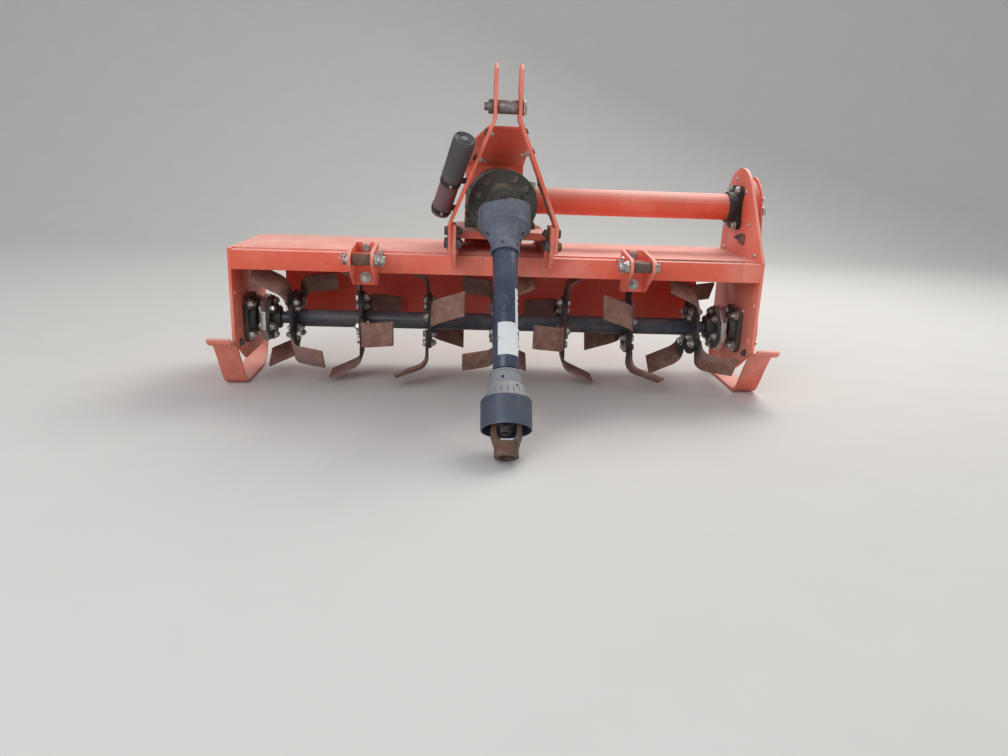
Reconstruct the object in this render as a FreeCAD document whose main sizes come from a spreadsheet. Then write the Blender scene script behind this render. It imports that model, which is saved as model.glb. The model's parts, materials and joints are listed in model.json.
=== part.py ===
import FreeCAD, Part
import Sketcher
import math
import os
import re
from types import SimpleNamespace

from FreeCAD import Placement, Rotation, Vector

# Rotary tiller for a compact tractor, hung on a three-point quick hitch and driven by a
# telescopic shaft with two universal joints. Millimetres and degrees. X points to the chain
# side, Y from the tractor back to the tailgate, Z up, and the skids stand on Z = 0.
# Places along Y are counted from the front face of the front bar, and heights from its top.

# Driving dimensions: name, value
SIZES = (
    # frame
    ("front_y", 60.607),
    ("bar_top", 384),
    ("bar_side", 50),
    ("bar_wall", 5),
    ("half_width", 700),
    ("side_thickness", 8),
    ("frame_depth", 352),
    ("hood_thickness", 4),
    ("hood_start", 30),
    ("hood_lip", 20),
    ("side_front_drop", 241),
    ("side_drop", 312),
    ("side_cut", 110),
    ("side_back_cut", 50),
    # chain side
    ("chain_y", 236),
    ("chain_z", 133),
    ("chain_head_r", 110),
    ("case_head_r", 78),
    ("case_foot_r", 68),
    ("case_width", 28),
    ("case_cover", 8),
    ("case_rim", 8),
    # rotor
    ("rotor_y", 150),
    ("rotor_z", 180),
    ("swing_r", 172),
    ("shaft_r", 24),
    ("shaft_gap", 16),
    ("shaft_overhang", 70),
    ("end_disc_r", 66),
    ("end_disc_thickness", 16),
    ("flange_r", 78),
    ("flange_thickness", 8),
    ("helix_angle", 30),
    ("blade_reach", 94),
    ("blade_thickness", 7),
    ("blade_bend_r", 40),
    ("blade_root", 30),
    ("blade_lead", 40),
    ("blade_trail", 27),
    ("blade_shift", 24),
    ("blade_slope", 22),
    ("shank_half", 22),
    ("bearing_side", 124),
    ("bearing_plate", 12),
    ("bearing_boss_r", 42),
    ("bearing_boss", 16),
    ("stub_r", 20),
    # skids
    ("skid_width", 62),
    ("skid_thickness", 8),
    ("skid_gap", 0.3),
    # hitch
    ("mast_thickness", 8),
    ("mast_gap", 52),
    ("mast_top", 462),
    ("mast_shoulder", 337),
    ("mast_kink", 85),
    ("mast_base", 18),
    ("mast_front", -66),
    ("mast_back", 26),
    ("mast_arm", 32),
    ("mast_corner", 13),
    ("lug_x", 118),
    ("lug_thickness", 12),
    ("lug_drop", 24),
    ("top_pin_z", 366),
    ("top_pin_y", -57),
    ("top_pin_r", 9.5),
    ("top_bush_r", 16.5),
    ("top_head", 12),
    ("top_stub", 10),
    ("link_hole_z", 428),
    ("link_hole_r", 9.75),
    ("clevis_x", 350),
    ("clevis_gap", 48),
    ("clevis_thickness", 8),
    ("clevis_r", 22),
    ("clevis_foot", 80),
    ("clevis_web", 22),
    ("clevis_tail", 28),
    ("tab_height", 26),
    ("notch_r", 10),
    ("lower_pin_y", -87),
    ("lower_pin_z", -5),
    ("lower_pin_r", 11),
    ("lower_bush_r", 14),
    ("lower_pin_inner", 26),
    ("lower_pin_outer", 12),
    # gearbox and its pedestal
    ("pedestal_thickness", 6),
    ("step_height", 28),
    ("step_depth", 26),
    ("pedestal_height", 62),
    ("pedestal_lip", 20),
    ("pedestal_back", 318),
    ("panel_half_top", 45),
    ("panel_half", 95),
    ("panel_right", 72),
    ("panel_front", -20.8),
    ("panel_top", 324),
    ("panel_shoulder", 228),
    ("panel_wide_y", 150),
    ("gear_half", 82),
    ("gear_front", 140),
    ("gear_back", 300),
    ("gear_round_r", 86),
    ("gear_foot", 14),
    ("nose_face", 20),
    ("nose_flange_r", 88),
    ("nose_flange", 16),
    ("nose_r", 64),
    ("cap_r", 54),
    ("cap_depth", 12),
    ("rib_thickness", 9),
    ("side_cap_r", 52),
    ("side_cap", 16),
    ("far_cap", 10),
    ("tube_r", 37),
    ("ear_height", 122),
    ("ear_depth", 92),
    ("ear_thickness", 14),
    ("ear_hub", 22),
    ("ear_hub_r", 43),
    # canister
    ("canister_r", 24.5),
    ("canister_cap_r", 27.5),
    ("canister_length", 228),
    ("canister_cap", 112),
    ("canister_x", -160),
    ("canister_y", 14),
    ("canister_z", 109),
    ("canister_lean_x", 59),
    ("canister_lean_y", -122),
    ("canister_lean_z", 181),
    # tailgate
    ("tail_gap", 58),
    ("tail_drop", 228),
    ("tail_thickness", 3),
    ("tail_curve", 640),
    ("tail_hem", 14),
    ("hinge_rod_r", 6),
    ("hinge_barrel_r", 10),
    ("hinge_clearance", 0.08),
    ("hinge_ear", 10),
    ("hinge_space", 3),
    ("hinge_back", 14),
    # driveline, lengths along its axis from the upper joint
    ("joint_y", -85),
    ("drive_angle", 52),
    ("lower_joint", 559),
    ("fork_half", 34),
    ("fork_slot", 22),
    ("fork_width", 16),
    ("fork_round", 4),
    ("fork_hub_r", 27),
    ("drive_hub_r", 24),
    ("drive_hub_end", 146),
    ("plug_length", 40),
    ("journal_r", 10),
    ("journal_clearance", 0.08),
    ("cross_core", 14),
    ("power_r", 17.5),
    ("outer_tube_r", 30),
    ("outer_tube_end", 434),
    ("inner_tube_r", 26.2),
    ("inner_tube_start", 186),
    ("tube_clearance", 0.4),
    ("inner_tube_wall", 3.2),
    ("bell_wall", 3),
    ("bell_r", 65),
    ("bell_rim", 2),
    ("bell_waist_r", 62),
    ("bell_shoulder", 58),
    ("bell_step", 3),
    ("bell_neck", 98),
    ("bell_neck_r", 35),
    ("bell_end", 132),
    ("far_collar", 440),
    ("far_collar_r", 34),
    ("far_lip_r", 37),
    ("far_cone", 472),
    ("far_cone_r", 41),
    ("far_shoulder", 504),
    ("far_shoulder_r", 51),
    ("far_bell_r", 57),
    ("far_rim", 574),
)
size = SimpleNamespace(**dict(SIZES))

# Names for places that many pieces share, as expressions of the sheet
INNER_X = "(half_width - side_thickness)"
TAIL_X = "(half_width - side_thickness - tail_gap)"
SHAFT_X = ("(half_width - side_thickness - bearing_plate - bearing_boss - shaft_gap"
           " - end_disc_thickness)")
ROTOR_Y = "(front_y + rotor_y)"
CHAIN_Y = "(front_y + chain_y)"
CHAIN_Z = "(bar_top + chain_z)"
HINGE_Y = "(front_y + frame_depth + hinge_back)"
HINGE_Z = "(bar_top - hinge_barrel_r)"

# Rotor: seven flanges, each a step further round, with four blades
FLANGES = 7
BLADES = 4
FIRST_ANGLE = 127

# Centres of the hinge's ears on the hood, between and beside the tailgate's barrels
EAR_PLACES = (
    "-(%s + hinge_ear)" % TAIL_X,
    "-%s / 3" % TAIL_X,
    "%s / 3" % TAIL_X,
    "(%s + hinge_ear)" % TAIL_X,
)

doc = FreeCAD.newDocument("tiller")
sheet = doc.addObject("Spreadsheet::Sheet", "sizes")
NODES = []
WORD = re.compile(r"[a-z][a-z_]*")
ALIASES = {alias for alias, value in SIZES}


def fill_sheet():
    for row, (alias, value) in enumerate(SIZES, start=1):
        sheet.set("A%d" % row, alias)
        sheet.set("B%d" % row, str(value))
        sheet.setAlias("B%d" % row, alias)
    doc.recompute()


# Expressions

def bind(item, prop, text):
    """Tie a property to an expression in which every alias of the sheet is a plain word."""
    def cell(match):
        word = match.group(0)
        return "sizes." + word if word in ALIASES else word
    item.setExpression(prop, WORD.sub(cell, str(text)))


def place(item, where):
    for axis, text in zip("xyz", where):
        bind(item, "Placement.Base." + axis, text)


# Primitives and booleans

TURN = {
    "x": Rotation(Vector(0, 1, 0), 90),
    "y": Rotation(Vector(1, 0, 0), -90),
    "z": Rotation(),
}


def box(name, low, sides):
    item = doc.addObject("Part::Box", name)
    for prop, text in zip(("Length", "Width", "Height"), sides):
        bind(item, prop, text)
    place(item, low)
    return item


def rod(name, radius, length, start, axis):
    item = doc.addObject("Part::Cylinder", name)
    item.Placement.Rotation = TURN[axis]
    bind(item, "Radius", radius)
    bind(item, "Height", length)
    place(item, start)
    return item


def cone(name, radius_start, radius_end, length, start, axis):
    item = doc.addObject("Part::Cone", name)
    item.Placement.Rotation = TURN[axis]
    bind(item, "Radius1", radius_start)
    bind(item, "Radius2", radius_end)
    bind(item, "Height", length)
    place(item, start)
    return item


def fuse(name, pieces):
    item = doc.addObject("Part::MultiFuse", name)
    item.Shapes = pieces
    item.Refine = True
    return item


def cut(name, base, tools):
    item = doc.addObject("Part::Cut", name)
    item.Base = base
    item.Tool = tools[0] if len(tools) == 1 else fuse(name + "_tools", tools)
    item.Refine = True
    return item


def common(name, pieces):
    item = doc.addObject("Part::MultiCommon", name)
    item.Shapes = pieces
    item.Refine = True
    return item


def mirrored(name, source):
    item = doc.addObject("Part::Mirroring", name)
    item.Source = source
    item.Normal = Vector(1, 0, 0)
    return item


def node(label, item):
    item.Label = label
    NODES.append(item)
    return item


# Bodies made from a sketched outline

def outlined_body(name, plane, corners, offset):
    """A body with a closed polygon, each corner held by two distances bound to the sheet."""
    body = doc.addObject("PartDesign::Body", name)
    sketch = body.newObject("Sketcher::SketchObject", name + "_outline")
    support = next(f for f in body.Origin.OriginFeatures if f.Role == plane + "_Plane")
    sketch.AttachmentSupport = [(support, "")]
    sketch.MapMode = "FlatFace"
    bind(sketch, "AttachmentOffset.Base.z", offset)
    count = len(corners)
    ring = [Vector(math.cos(2 * math.pi * i / count), math.sin(2 * math.pi * i / count), 0) * 100
            for i in range(count)]
    for i in range(count):
        sketch.addGeometry(Part.LineSegment(ring[i], ring[(i + 1) % count]), False)
    for i in range(count):
        sketch.addConstraint(Sketcher.Constraint("Coincident", i, 2, (i + 1) % count, 1))
    for i, (across, up) in enumerate(corners):
        for kind, text, start in (("DistanceX", across, ring[i].x), ("DistanceY", up, ring[i].y)):
            index = sketch.addConstraint(Sketcher.Constraint(kind, -1, 1, i, 1, start))
            bind(sketch, "Constraints[%d]" % index, text)
    return body, sketch


def plate(name, plane, corners, start, thickness):
    """A flat plate: an outline in a plane, padded from start towards the positive axis."""
    towards_minus = plane == "XZ"
    offset = "-(%s)" % start if towards_minus else start
    body, sketch = outlined_body(name, plane, corners, offset)
    pad = body.newObject("PartDesign::Pad", name + "_pad")
    pad.Profile = sketch
    pad.Reversed = towards_minus
    bind(pad, "Length", thickness)
    return body


def turned(name, corners):
    """A turned piece: an outline of radius and height, revolved about the Z axis."""
    body, sketch = outlined_body(name, "XZ", corners, 0)
    turn = body.newObject("PartDesign::Revolution", name + "_turn")
    turn.Profile = sketch
    turn.ReferenceAxis = (sketch, ["V_Axis"])
    turn.Angle = 360
    return body


def hull_of_circles(name, first, second, start, thickness):
    """A plate in the YZ plane round two circles (y, z, r), with straight sides between them."""
    y1, z1, r1 = first
    y2, z2, r2 = second
    length = math.hypot(y2 - y1, z2 - z1)
    heading = math.atan2(z2 - z1, y2 - y1)
    lean = math.acos((r1 - r2) / length)
    edges = []
    touch = []
    for side in (1, -1):
        angle = heading + side * lean
        touch.append([Vector(y + r * math.cos(angle), z + r * math.sin(angle), 0)
                      for y, z, r in (first, second)])
    back = Vector(y1 - r1 * math.cos(heading), z1 - r1 * math.sin(heading), 0)
    front = Vector(y2 + r2 * math.cos(heading), z2 + r2 * math.sin(heading), 0)
    edges.append(Part.LineSegment(touch[0][0], touch[0][1]))
    edges.append(Part.Arc(touch[0][1], front, touch[1][1]))
    edges.append(Part.LineSegment(touch[1][1], touch[1][0]))
    edges.append(Part.Arc(touch[1][0], back, touch[0][0]))
    return profile_body(name, edges, start, thickness)


def profile_body(name, edges, start, thickness):
    """A body padded along X from lines and arcs drawn in the YZ plane."""
    body = doc.addObject("PartDesign::Body", name)
    sketch = body.newObject("Sketcher::SketchObject", name + "_outline")
    support = next(f for f in body.Origin.OriginFeatures if f.Role == "YZ_Plane")
    sketch.AttachmentSupport = [(support, "")]
    sketch.MapMode = "FlatFace"
    bind(sketch, "AttachmentOffset.Base.z", start)
    for edge in edges:
        sketch.addGeometry(edge, False)
    pad = body.newObject("PartDesign::Pad", name + "_pad")
    pad.Profile = sketch
    bind(pad, "Length", thickness)
    return body


def strip_corners(path, thickness):
    """The corners of a strip whose left-hand face follows the path, with mitred bends."""
    points = [Vector(y, z, 0) for y, z in path]
    far = []
    for i, point in enumerate(points):
        normals = []
        for a, b in ((i - 1, i), (i, i + 1)):
            if 0 <= a and b < len(points):
                run = (points[b] - points[a]).normalize()
                normals.append(Vector(run.y, -run.x, 0))
        mean = sum(normals[1:], normals[0]).normalize()
        far.append(point + mean * (thickness / mean.dot(normals[0])))
    return [(p.x, p.y) for p in points + far[::-1]]


# Frame

def rear(text):
    return "front_y + " + text


def over(text):
    return "bar_top + " + text


def under(text):
    return "bar_top - " + text


def make_front_bar():
    low = ("-" + INNER_X, "front_y", under("bar_side"))
    solid = box("front_bar_solid", low, ("2 * " + INNER_X, "bar_side", "bar_side"))
    low = ("-" + INNER_X, rear("bar_wall"), under("bar_side + bar_wall"))
    hollow = "bar_side - 2 * bar_wall"
    inside = box("front_bar_inside", low, ("2 * " + INNER_X, hollow, hollow))
    node("front_bar", cut("front_bar", solid, [inside]))


def make_hood():
    corners = (
        (rear("hood_start"), "bar_top"),
        (rear("hood_start"), over("hood_thickness")),
        (rear("frame_depth"), over("hood_thickness")),
        (rear("frame_depth"), under("hood_lip")),
        (rear("frame_depth - hood_thickness"), under("hood_lip")),
        (rear("frame_depth - hood_thickness"), "bar_top"),
    )
    sheet_metal = plate("hood_sheet", "YZ", corners, "-" + INNER_X, "2 * " + INNER_X)
    pieces = [sheet_metal]
    for i, place_x in enumerate(EAR_PLACES):
        start = "%s - hinge_ear / 2" % place_x
        pieces.append(rod("hood_ear_%d" % i, "hinge_barrel_r", "hinge_ear",
                          (start, HINGE_Y, HINGE_Z), "x"))
        pieces.append(box("hood_ear_web_%d" % i, (start, rear("frame_depth"), under("hood_lip")),
                          ("hinge_ear", "hinge_back", "hood_lip")))
    solid = fuse("hood_solid", pieces)
    hole = rod("hood_hole", "hinge_rod_r", "2 * " + INNER_X,
               ("-" + INNER_X, HINGE_Y, HINGE_Z), "x")
    node("hood", cut("hood", solid, [hole]))


def side_outline():
    return [
        ("front_y", over("hood_thickness")),
        ("front_y", under("side_front_drop")),
        (rear("side_cut"), under("side_drop")),
        (rear("(frame_depth - side_back_cut)"), under("side_drop")),
        (rear("frame_depth"), under("(side_drop - side_back_cut)")),
        (rear("frame_depth"), over("hood_thickness")),
    ]


def make_side_plates():
    left = plate("side_plate_left_sheet", "YZ", side_outline(), "-half_width", "side_thickness")
    window = rod("side_plate_left_hole", "stub_r + 8", "side_thickness",
                 ("-half_width", ROTOR_Y, "rotor_z"), "x")
    node("side_plate_left", cut("side_plate_left", left, [window]))

    right = plate("side_plate_right_sheet", "YZ", side_outline(), INNER_X, "side_thickness")
    head = (size.front_y + size.chain_y, size.bar_top + size.chain_z)
    base_z = size.bar_top + size.hood_thickness
    root_z = base_z - size.hood_lip
    back_y = size.front_y + size.frame_depth
    corners = (
        (size.front_y, root_z),
        (size.front_y, base_z),
        touch_circle((size.front_y, base_z), head, size.chain_head_r, 1),
        head,
        touch_circle((back_y, base_z), head, size.chain_head_r, -1),
        (back_y, base_z),
        (back_y, root_z),
    )
    neck = plate("side_plate_right_neck", "YZ", corners, INNER_X, "side_thickness")
    crown = rod("side_plate_right_head", "chain_head_r", "side_thickness",
                (INNER_X, CHAIN_Y, CHAIN_Z), "x")
    solid = fuse("side_plate_right_solid", [right, neck, crown])
    window = rod("side_plate_right_hole", "stub_r + 8", "side_thickness",
                 (INNER_X, ROTOR_Y, "rotor_z"), "x")
    node("side_plate_right", cut("side_plate_right", solid, [window]))


def touch_circle(point, centre, radius, side):
    """Where a line from a point touches a circle, on its left (1) or right (-1)."""
    across = centre[0] - point[0]
    up = centre[1] - point[1]
    distance = math.hypot(across, up)
    angle = math.atan2(up, across) + side * math.asin(radius / distance)
    reach = math.sqrt(distance ** 2 - radius ** 2)
    return (point[0] + reach * math.cos(angle), point[1] + reach * math.sin(angle))


def chain_hull(name, grow, start, thickness):
    head = (size.front_y + size.chain_y, size.bar_top + size.chain_z, size.case_head_r + grow)
    foot = (size.front_y + size.rotor_y, size.rotor_z, size.case_foot_r + grow)
    return hull_of_circles(name, head, foot, start, thickness)


def make_chain_case():
    node("chain_case", chain_hull("chain_case", 0, "half_width", "case_width"))
    rim = chain_hull("chain_cover_rim", size.case_rim, "half_width + case_width", "case_cover / 2")
    dome = chain_hull("chain_cover_dome", -size.case_rim, "half_width + case_width", "case_cover")
    node("chain_cover", fuse("chain_cover", [rim, dome]))


def make_skids():
    """Bowed straps under the side plates. The path is the strap's upper face, nose to heel."""
    corner = size.bar_top - size.side_front_drop - size.skid_gap
    sole = size.skid_thickness
    back = size.frame_depth + size.skid_gap
    heel = size.bar_top - size.side_drop + size.side_back_cut
    path = [
        (-38, corner + 17),
        (-33, corner + 8),
        (-22, corner + 2),
        (0, corner - 1),
        (18, corner - 14),
        (46, corner - 54),
        (70, sole + 42),
        (86, sole + 17),
        (102, sole + 4),
        (122, sole),
        (back - 68, sole),
        (back - 40, sole + 9),
        (back - 20, sole + 26),
        (back - 6, sole + 50),
        (back, sole + 78),
        (back, heel + 60),
    ]
    corners = strip_corners([(size.front_y + y, z) for y, z in path], size.skid_thickness)
    right = plate("skid_right", "YZ", corners, INNER_X, "skid_width")
    node("skid_right", right)
    node("skid_left", mirrored("skid_left", right))


# Hitch

def mast_face():
    """Two points (x, z) on the sloped part of the right mast plate's inner face."""
    return (
        (size.mast_gap / 2, size.bar_top + size.mast_shoulder),
        (size.lug_x + size.lug_thickness, size.bar_top + size.mast_kink),
    )


def make_mast():
    shoulder, kink = mast_face()
    front_path = (
        (shoulder[0], size.bar_top + size.mast_top),
        shoulder,
        kink,
        (kink[0], size.bar_top + size.mast_base),
    )
    corners = strip_corners(front_path, -size.mast_thickness)
    bent = plate("mast_bend", "XZ", corners, "front_y - frame_depth / 2", "frame_depth")
    outline = (
        (rear("mast_front"), over("mast_base")),
        (rear("mast_back"), over("mast_base")),
        (rear("mast_back"), over("mast_kink")),
        (rear("(top_pin_y + mast_arm)"), over("mast_shoulder")),
        (rear("(top_pin_y + mast_arm)"), over("(mast_top - mast_corner)")),
        (rear("(top_pin_y + mast_arm - mast_corner)"), over("mast_top")),
        (rear("(top_pin_y - mast_arm + mast_corner)"), over("mast_top")),
        (rear("(top_pin_y - mast_arm)"), over("(mast_top - mast_corner)")),
        (rear("(top_pin_y - mast_arm)"), over("mast_shoulder")),
    )
    side = plate("mast_side", "YZ", outline, 0, "2 * lug_x")
    blank = common("mast_blank", [bent, side])
    holes = [
        rod("mast_pin_hole", "top_pin_r", "lug_x", (0, rear("top_pin_y"), over("top_pin_z")), "x"),
        rod("mast_link_hole", "link_hole_r", "lug_x", (0, rear("top_pin_y"), over("link_hole_z")),
            "x"),
    ]
    right = cut("mast_right", blank, holes)
    node("mast_right", right)
    node("mast_left", mirrored("mast_left", right))


def make_mast_lugs():
    corners = (
        ("front_y", "bar_top"),
        ("front_y", under("lug_drop")),
        (rear("(mast_front / 2)"), under("lug_drop")),
        (rear("(mast_front + 4)"), over("step_height / 2")),
        (rear("(mast_front + 4)"), over("(mast_kink - 1)")),
        (rear("(mast_back + 2)"), over("(mast_kink - 1)")),
        (rear("(mast_back + 2)"), "bar_top"),
    )
    right = plate("mast_lug_right", "YZ", corners, "lug_x", "lug_thickness")
    left = mirrored("mast_lug_left", right)
    node("mast_lugs", fuse("mast_lugs", [right, left]))


def make_top_pin():
    start = "-(mast_gap / 2 - 1)"
    pin_place = (rear("top_pin_y"), over("top_pin_z"))
    bush = rod("top_bushing_solid", "top_bush_r", "mast_gap - 2", (start,) + pin_place, "x")
    bore = rod("top_bushing_bore", "top_pin_r", "mast_gap", (start,) + pin_place, "x")
    node("top_bushing", cut("top_bushing", bush, [bore]))
    outside = "(mast_gap / 2 + mast_thickness)"
    shank = rod("top_pin_shank", "top_pin_r", "2 * (%s + top_head) + top_stub" % outside,
                ("-(%s + top_head + top_stub)" % outside,) + pin_place, "x")
    head = rod("top_pin_head", "top_bush_r", "top_head",
               ("-(%s + top_head)" % outside,) + pin_place, "x")
    washer = rod("top_pin_washer", "top_bush_r + 1", "top_head / 3", (outside,) + pin_place, "x")
    node("top_pin", fuse("top_pin", [shank, head, washer]))


def make_clevises():
    pin_y = size.front_y + size.lower_pin_y
    pin_z = size.bar_top + size.lower_pin_z
    toe_r = 1.5 * size.clevis_thickness
    toe = (size.front_y - toe_r, size.bar_top - size.clevis_foot + toe_r, toe_r)
    inner = "(clevis_x - clevis_gap / 2)"
    pieces = []
    for i, start in enumerate((inner + " - clevis_thickness", "clevis_x + clevis_gap / 2")):
        pieces.append(hull_of_circles("clevis_cheek_%d" % i, (pin_y, pin_z, size.clevis_r), toe,
                                      start, "clevis_thickness"))
        arm = (
            ("front_y", "bar_top"),
            ("front_y", under("clevis_foot")),
            (rear("(-1.5 * clevis_thickness)"), under("clevis_foot")),
            (rear("lower_pin_y"), over("lower_pin_z")),
            (rear("lower_pin_y"), over("(lower_pin_z + clevis_r)")),
            (rear("(clevis_tail - clevis_thickness)"), over("tab_height")),
            (rear("clevis_tail"), over("tab_height")),
            (rear("clevis_tail"), "bar_top"),
        )
        pieces.append(plate("clevis_arm_%d" % i, "YZ", arm, start, "clevis_thickness"))
    pieces.append(box("clevis_web", (inner, rear("(-clevis_thickness)"), under("clevis_foot")),
                      ("clevis_gap", "clevis_thickness", "clevis_foot - clevis_web")))
    pieces.append(box("clevis_tab", (inner, rear("(clevis_tail - clevis_thickness)"), "bar_top"),
                      ("clevis_gap", "clevis_thickness", "tab_height")))
    solid = fuse("clevis_solid", pieces)
    notch = rod("clevis_notch", "notch_r", "4 * clevis_thickness",
                ("clevis_x", rear("(clevis_tail - 2 * clevis_thickness)"), over("tab_height")), "y")
    eye = rod("clevis_eye", "lower_pin_r", "2 * (clevis_gap + clevis_thickness)",
              ("clevis_x - clevis_gap - clevis_thickness", rear("lower_pin_y"),
               over("lower_pin_z")), "x")
    right = cut("clevis_right", solid, [notch, eye])
    node("clevis_right", right)
    node("clevis_left", mirrored("clevis_left", right))


def make_lower_pins():
    pin_place = (rear("lower_pin_y"), over("lower_pin_z"))
    inner = "(clevis_x - clevis_gap / 2)"
    length = "clevis_gap + 2 * clevis_thickness + lower_pin_inner + lower_pin_outer"
    shank = rod("lower_pin_right", "lower_pin_r", length,
                (inner + " - clevis_thickness - lower_pin_inner",) + pin_place, "x")
    node("lower_pins", fuse("lower_pins", [shank, mirrored("lower_pin_left", shank)]))
    tube = rod("lower_bush_solid", "lower_bush_r", "clevis_gap - 2", (inner + " + 1",) + pin_place,
               "x")
    bore = rod("lower_bush_bore", "lower_pin_r", "clevis_gap", (inner,) + pin_place, "x")
    right = cut("lower_bush_right", tube, [bore])
    node("lower_bushings", fuse("lower_bushings", [right, mirrored("lower_bush_left", right)]))


# Pedestal, gearbox and drive to the chain case

def make_pedestal():
    """A bridge with two side walls, open towards the front under its top plate."""
    t = "pedestal_thickness"
    wall = (
        ("front_y", "bar_top"),
        ("front_y", over("step_height")),
        (rear("step_depth"), over("pedestal_height")),
        (rear("pedestal_back"), over("pedestal_height")),
        (rear("pedestal_back"), over("hood_thickness")),
        (rear("hood_start"), over("hood_thickness")),
        (rear("hood_start"), "bar_top"),
    )
    side = plate("gearbox_mount_side", "YZ", wall, "-lug_x", t)
    top = box("gearbox_mount_top",
              ("-lug_x", rear("step_depth"), over("(pedestal_height - %s)" % t)),
              ("2 * lug_x", "pedestal_back - step_depth", t))
    lip = box("gearbox_mount_lip",
              ("-lug_x", rear("step_depth"), over("(pedestal_height - pedestal_lip)")),
              ("2 * lug_x", t, "pedestal_lip"))
    node("gearbox_mount",
         fuse("gearbox_mount", [side, mirrored("gearbox_mount_far_side", side), top, lip]))


def make_rear_panel():
    t = "pedestal_thickness"
    corners = (
        (rear("panel_front"), over("(panel_top - %s)" % t)),
        (rear("panel_front"), over("panel_top")),
        (rear("(pedestal_back + %s)" % t), over("panel_shoulder")),
        (rear("(pedestal_back + %s)" % t), over("hood_thickness")),
        (rear("pedestal_back"), over("hood_thickness")),
        (rear("pedestal_back"), over("(panel_shoulder - 0.75 * %s)" % t)),
    )
    bent = plate("rear_panel_bend", "YZ", corners, "-panel_half",
                 "panel_half + panel_right")
    outline = (
        ("-panel_half_top", rear("panel_front")),
        ("-panel_half", rear("panel_wide_y")),
        ("-panel_half", rear("(pedestal_back + %s)" % t)),
        ("panel_right", rear("(pedestal_back + %s)" % t)),
        ("panel_right", rear("panel_wide_y")),
        ("panel_half_top", rear("panel_front")),
    )
    plan = plate("rear_panel_plan", "XY", outline, "bar_top", "panel_top")
    node("rear_panel", common("rear_panel", [bent, plan]))


def make_gearbox():
    length = "gear_back - gear_front"
    tall = "(chain_z - pedestal_height)"
    barrel = rod("gearbox_barrel", "gear_round_r", length, (0, rear("gear_front"), CHAIN_Z), "y")
    sides = box("gearbox_sides", ("-gear_half", rear("gear_front"), over("pedestal_height")),
                ("2 * gear_half", length, "2 * " + tall + " + gear_foot"))
    crown = common("gearbox_crown", [barrel, sides])
    lower = box("gearbox_lower", ("-gear_half", rear("gear_front"), over("pedestal_height")),
                ("2 * gear_half", length, tall))
    foot = box("gearbox_foot", ("-gear_half - gear_foot", rear("(gear_front - gear_foot)"),
                                over("pedestal_height")),
               ("2 * (gear_half + gear_foot)", length + " + gear_foot", "gear_foot"))
    neck = cone("gearbox_neck", "nose_r", "gear_half - 6", "gear_front - nose_face",
                (0, rear("nose_face"), CHAIN_Z), "y")
    pieces = [crown, lower, foot, neck]
    spokes = []
    for i in range(4):
        rib = doc.addObject("Part::Box", "gearbox_rib_%d" % i)
        bind(rib, "Length", "2 * nose_flange_r")
        bind(rib, "Width", "gear_front - nose_face")
        bind(rib, "Height", "rib_thickness")
        turn = Rotation(Vector(0, 1, 0), 22.5 + 45 * i)
        middle = Vector(0, size.front_y + size.nose_face, size.bar_top + size.chain_z)
        corner = Vector(-size.nose_flange_r, 0, -size.rib_thickness / 2)
        rib.Placement = Placement(middle + turn.multVec(corner), turn)
        spokes.append(rib)
    taper = cone("gearbox_rib_taper", "nose_flange_r - 6", "gear_half", "gear_front - nose_face",
                 (0, rear("nose_face"), CHAIN_Z), "y")
    pieces.append(common("gearbox_ribs", [fuse("gearbox_rib_star", spokes), taper]))
    pieces.append(rod("gearbox_input", "power_r", "nose_face - joint_y - 2 * fork_slot",
                      (0, rear("(joint_y + 2 * fork_slot)"), CHAIN_Z), "y"))
    pieces.append(rod("gearbox_side_cap", "side_cap_r", "side_cap",
                      ("gear_half", CHAIN_Y, CHAIN_Z), "x"))
    pieces.append(rod("gearbox_far_cap", "side_cap_r", "far_cap",
                      ("-gear_half - far_cap", CHAIN_Y, CHAIN_Z), "x"))
    seat = box("gearbox_seat", ("-nose_flange_r", rear("nose_face"), "bar_top"),
               ("2 * nose_flange_r", "gear_back", "pedestal_height"))
    node("gearbox_housing", cut("gearbox_housing", fuse("gearbox_solid", pieces), [seat]))

    flange = rod("gearbox_flange", "nose_flange_r", "nose_flange",
                 (0, rear("(nose_face - nose_flange)"), CHAIN_Z), "y")
    cap = cone("gearbox_cap", "cap_r - 8", "cap_r", "cap_depth",
               (0, rear("(nose_face - nose_flange - cap_depth)"), CHAIN_Z), "y")
    solid = fuse("gearbox_cover_solid", [flange, cap])
    bore = rod("gearbox_cover_bore", "power_r", "2 * (nose_flange + cap_depth)",
               (0, rear("(nose_face - 2 * (nose_flange + cap_depth))"), CHAIN_Z), "y")
    node("gearbox_cover", cut("gearbox_cover", solid, [bore]))


def make_cross_tube():
    start = "gear_half + side_cap"
    length = "%s - ear_thickness - (%s)" % (INNER_X, start)
    node("cross_tube", rod("cross_tube", "tube_r", length, (start, CHAIN_Y, CHAIN_Z), "x"))
    ear_start = INNER_X + " - ear_thickness"
    corners = []
    for across, up in EAR_OUTLINE:
        corners.append(("%s + %s * ear_depth / 2" % (CHAIN_Y, across),
                        "%s + %s * ear_height / 2" % (CHAIN_Z, up)))
    ear = plate("tube_ear_plate", "YZ", corners, ear_start, "ear_thickness")
    hub_place = (ear_start + " - ear_hub", CHAIN_Y, CHAIN_Z)
    hub = rod("tube_ear_hub", "ear_hub_r", "ear_hub", hub_place, "x")
    bore = rod("tube_ear_bore", "tube_r", "ear_hub", hub_place, "x")
    node("tube_ear", cut("tube_ear", fuse("tube_ear_solid", [ear, hub]), [bore]))


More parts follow.
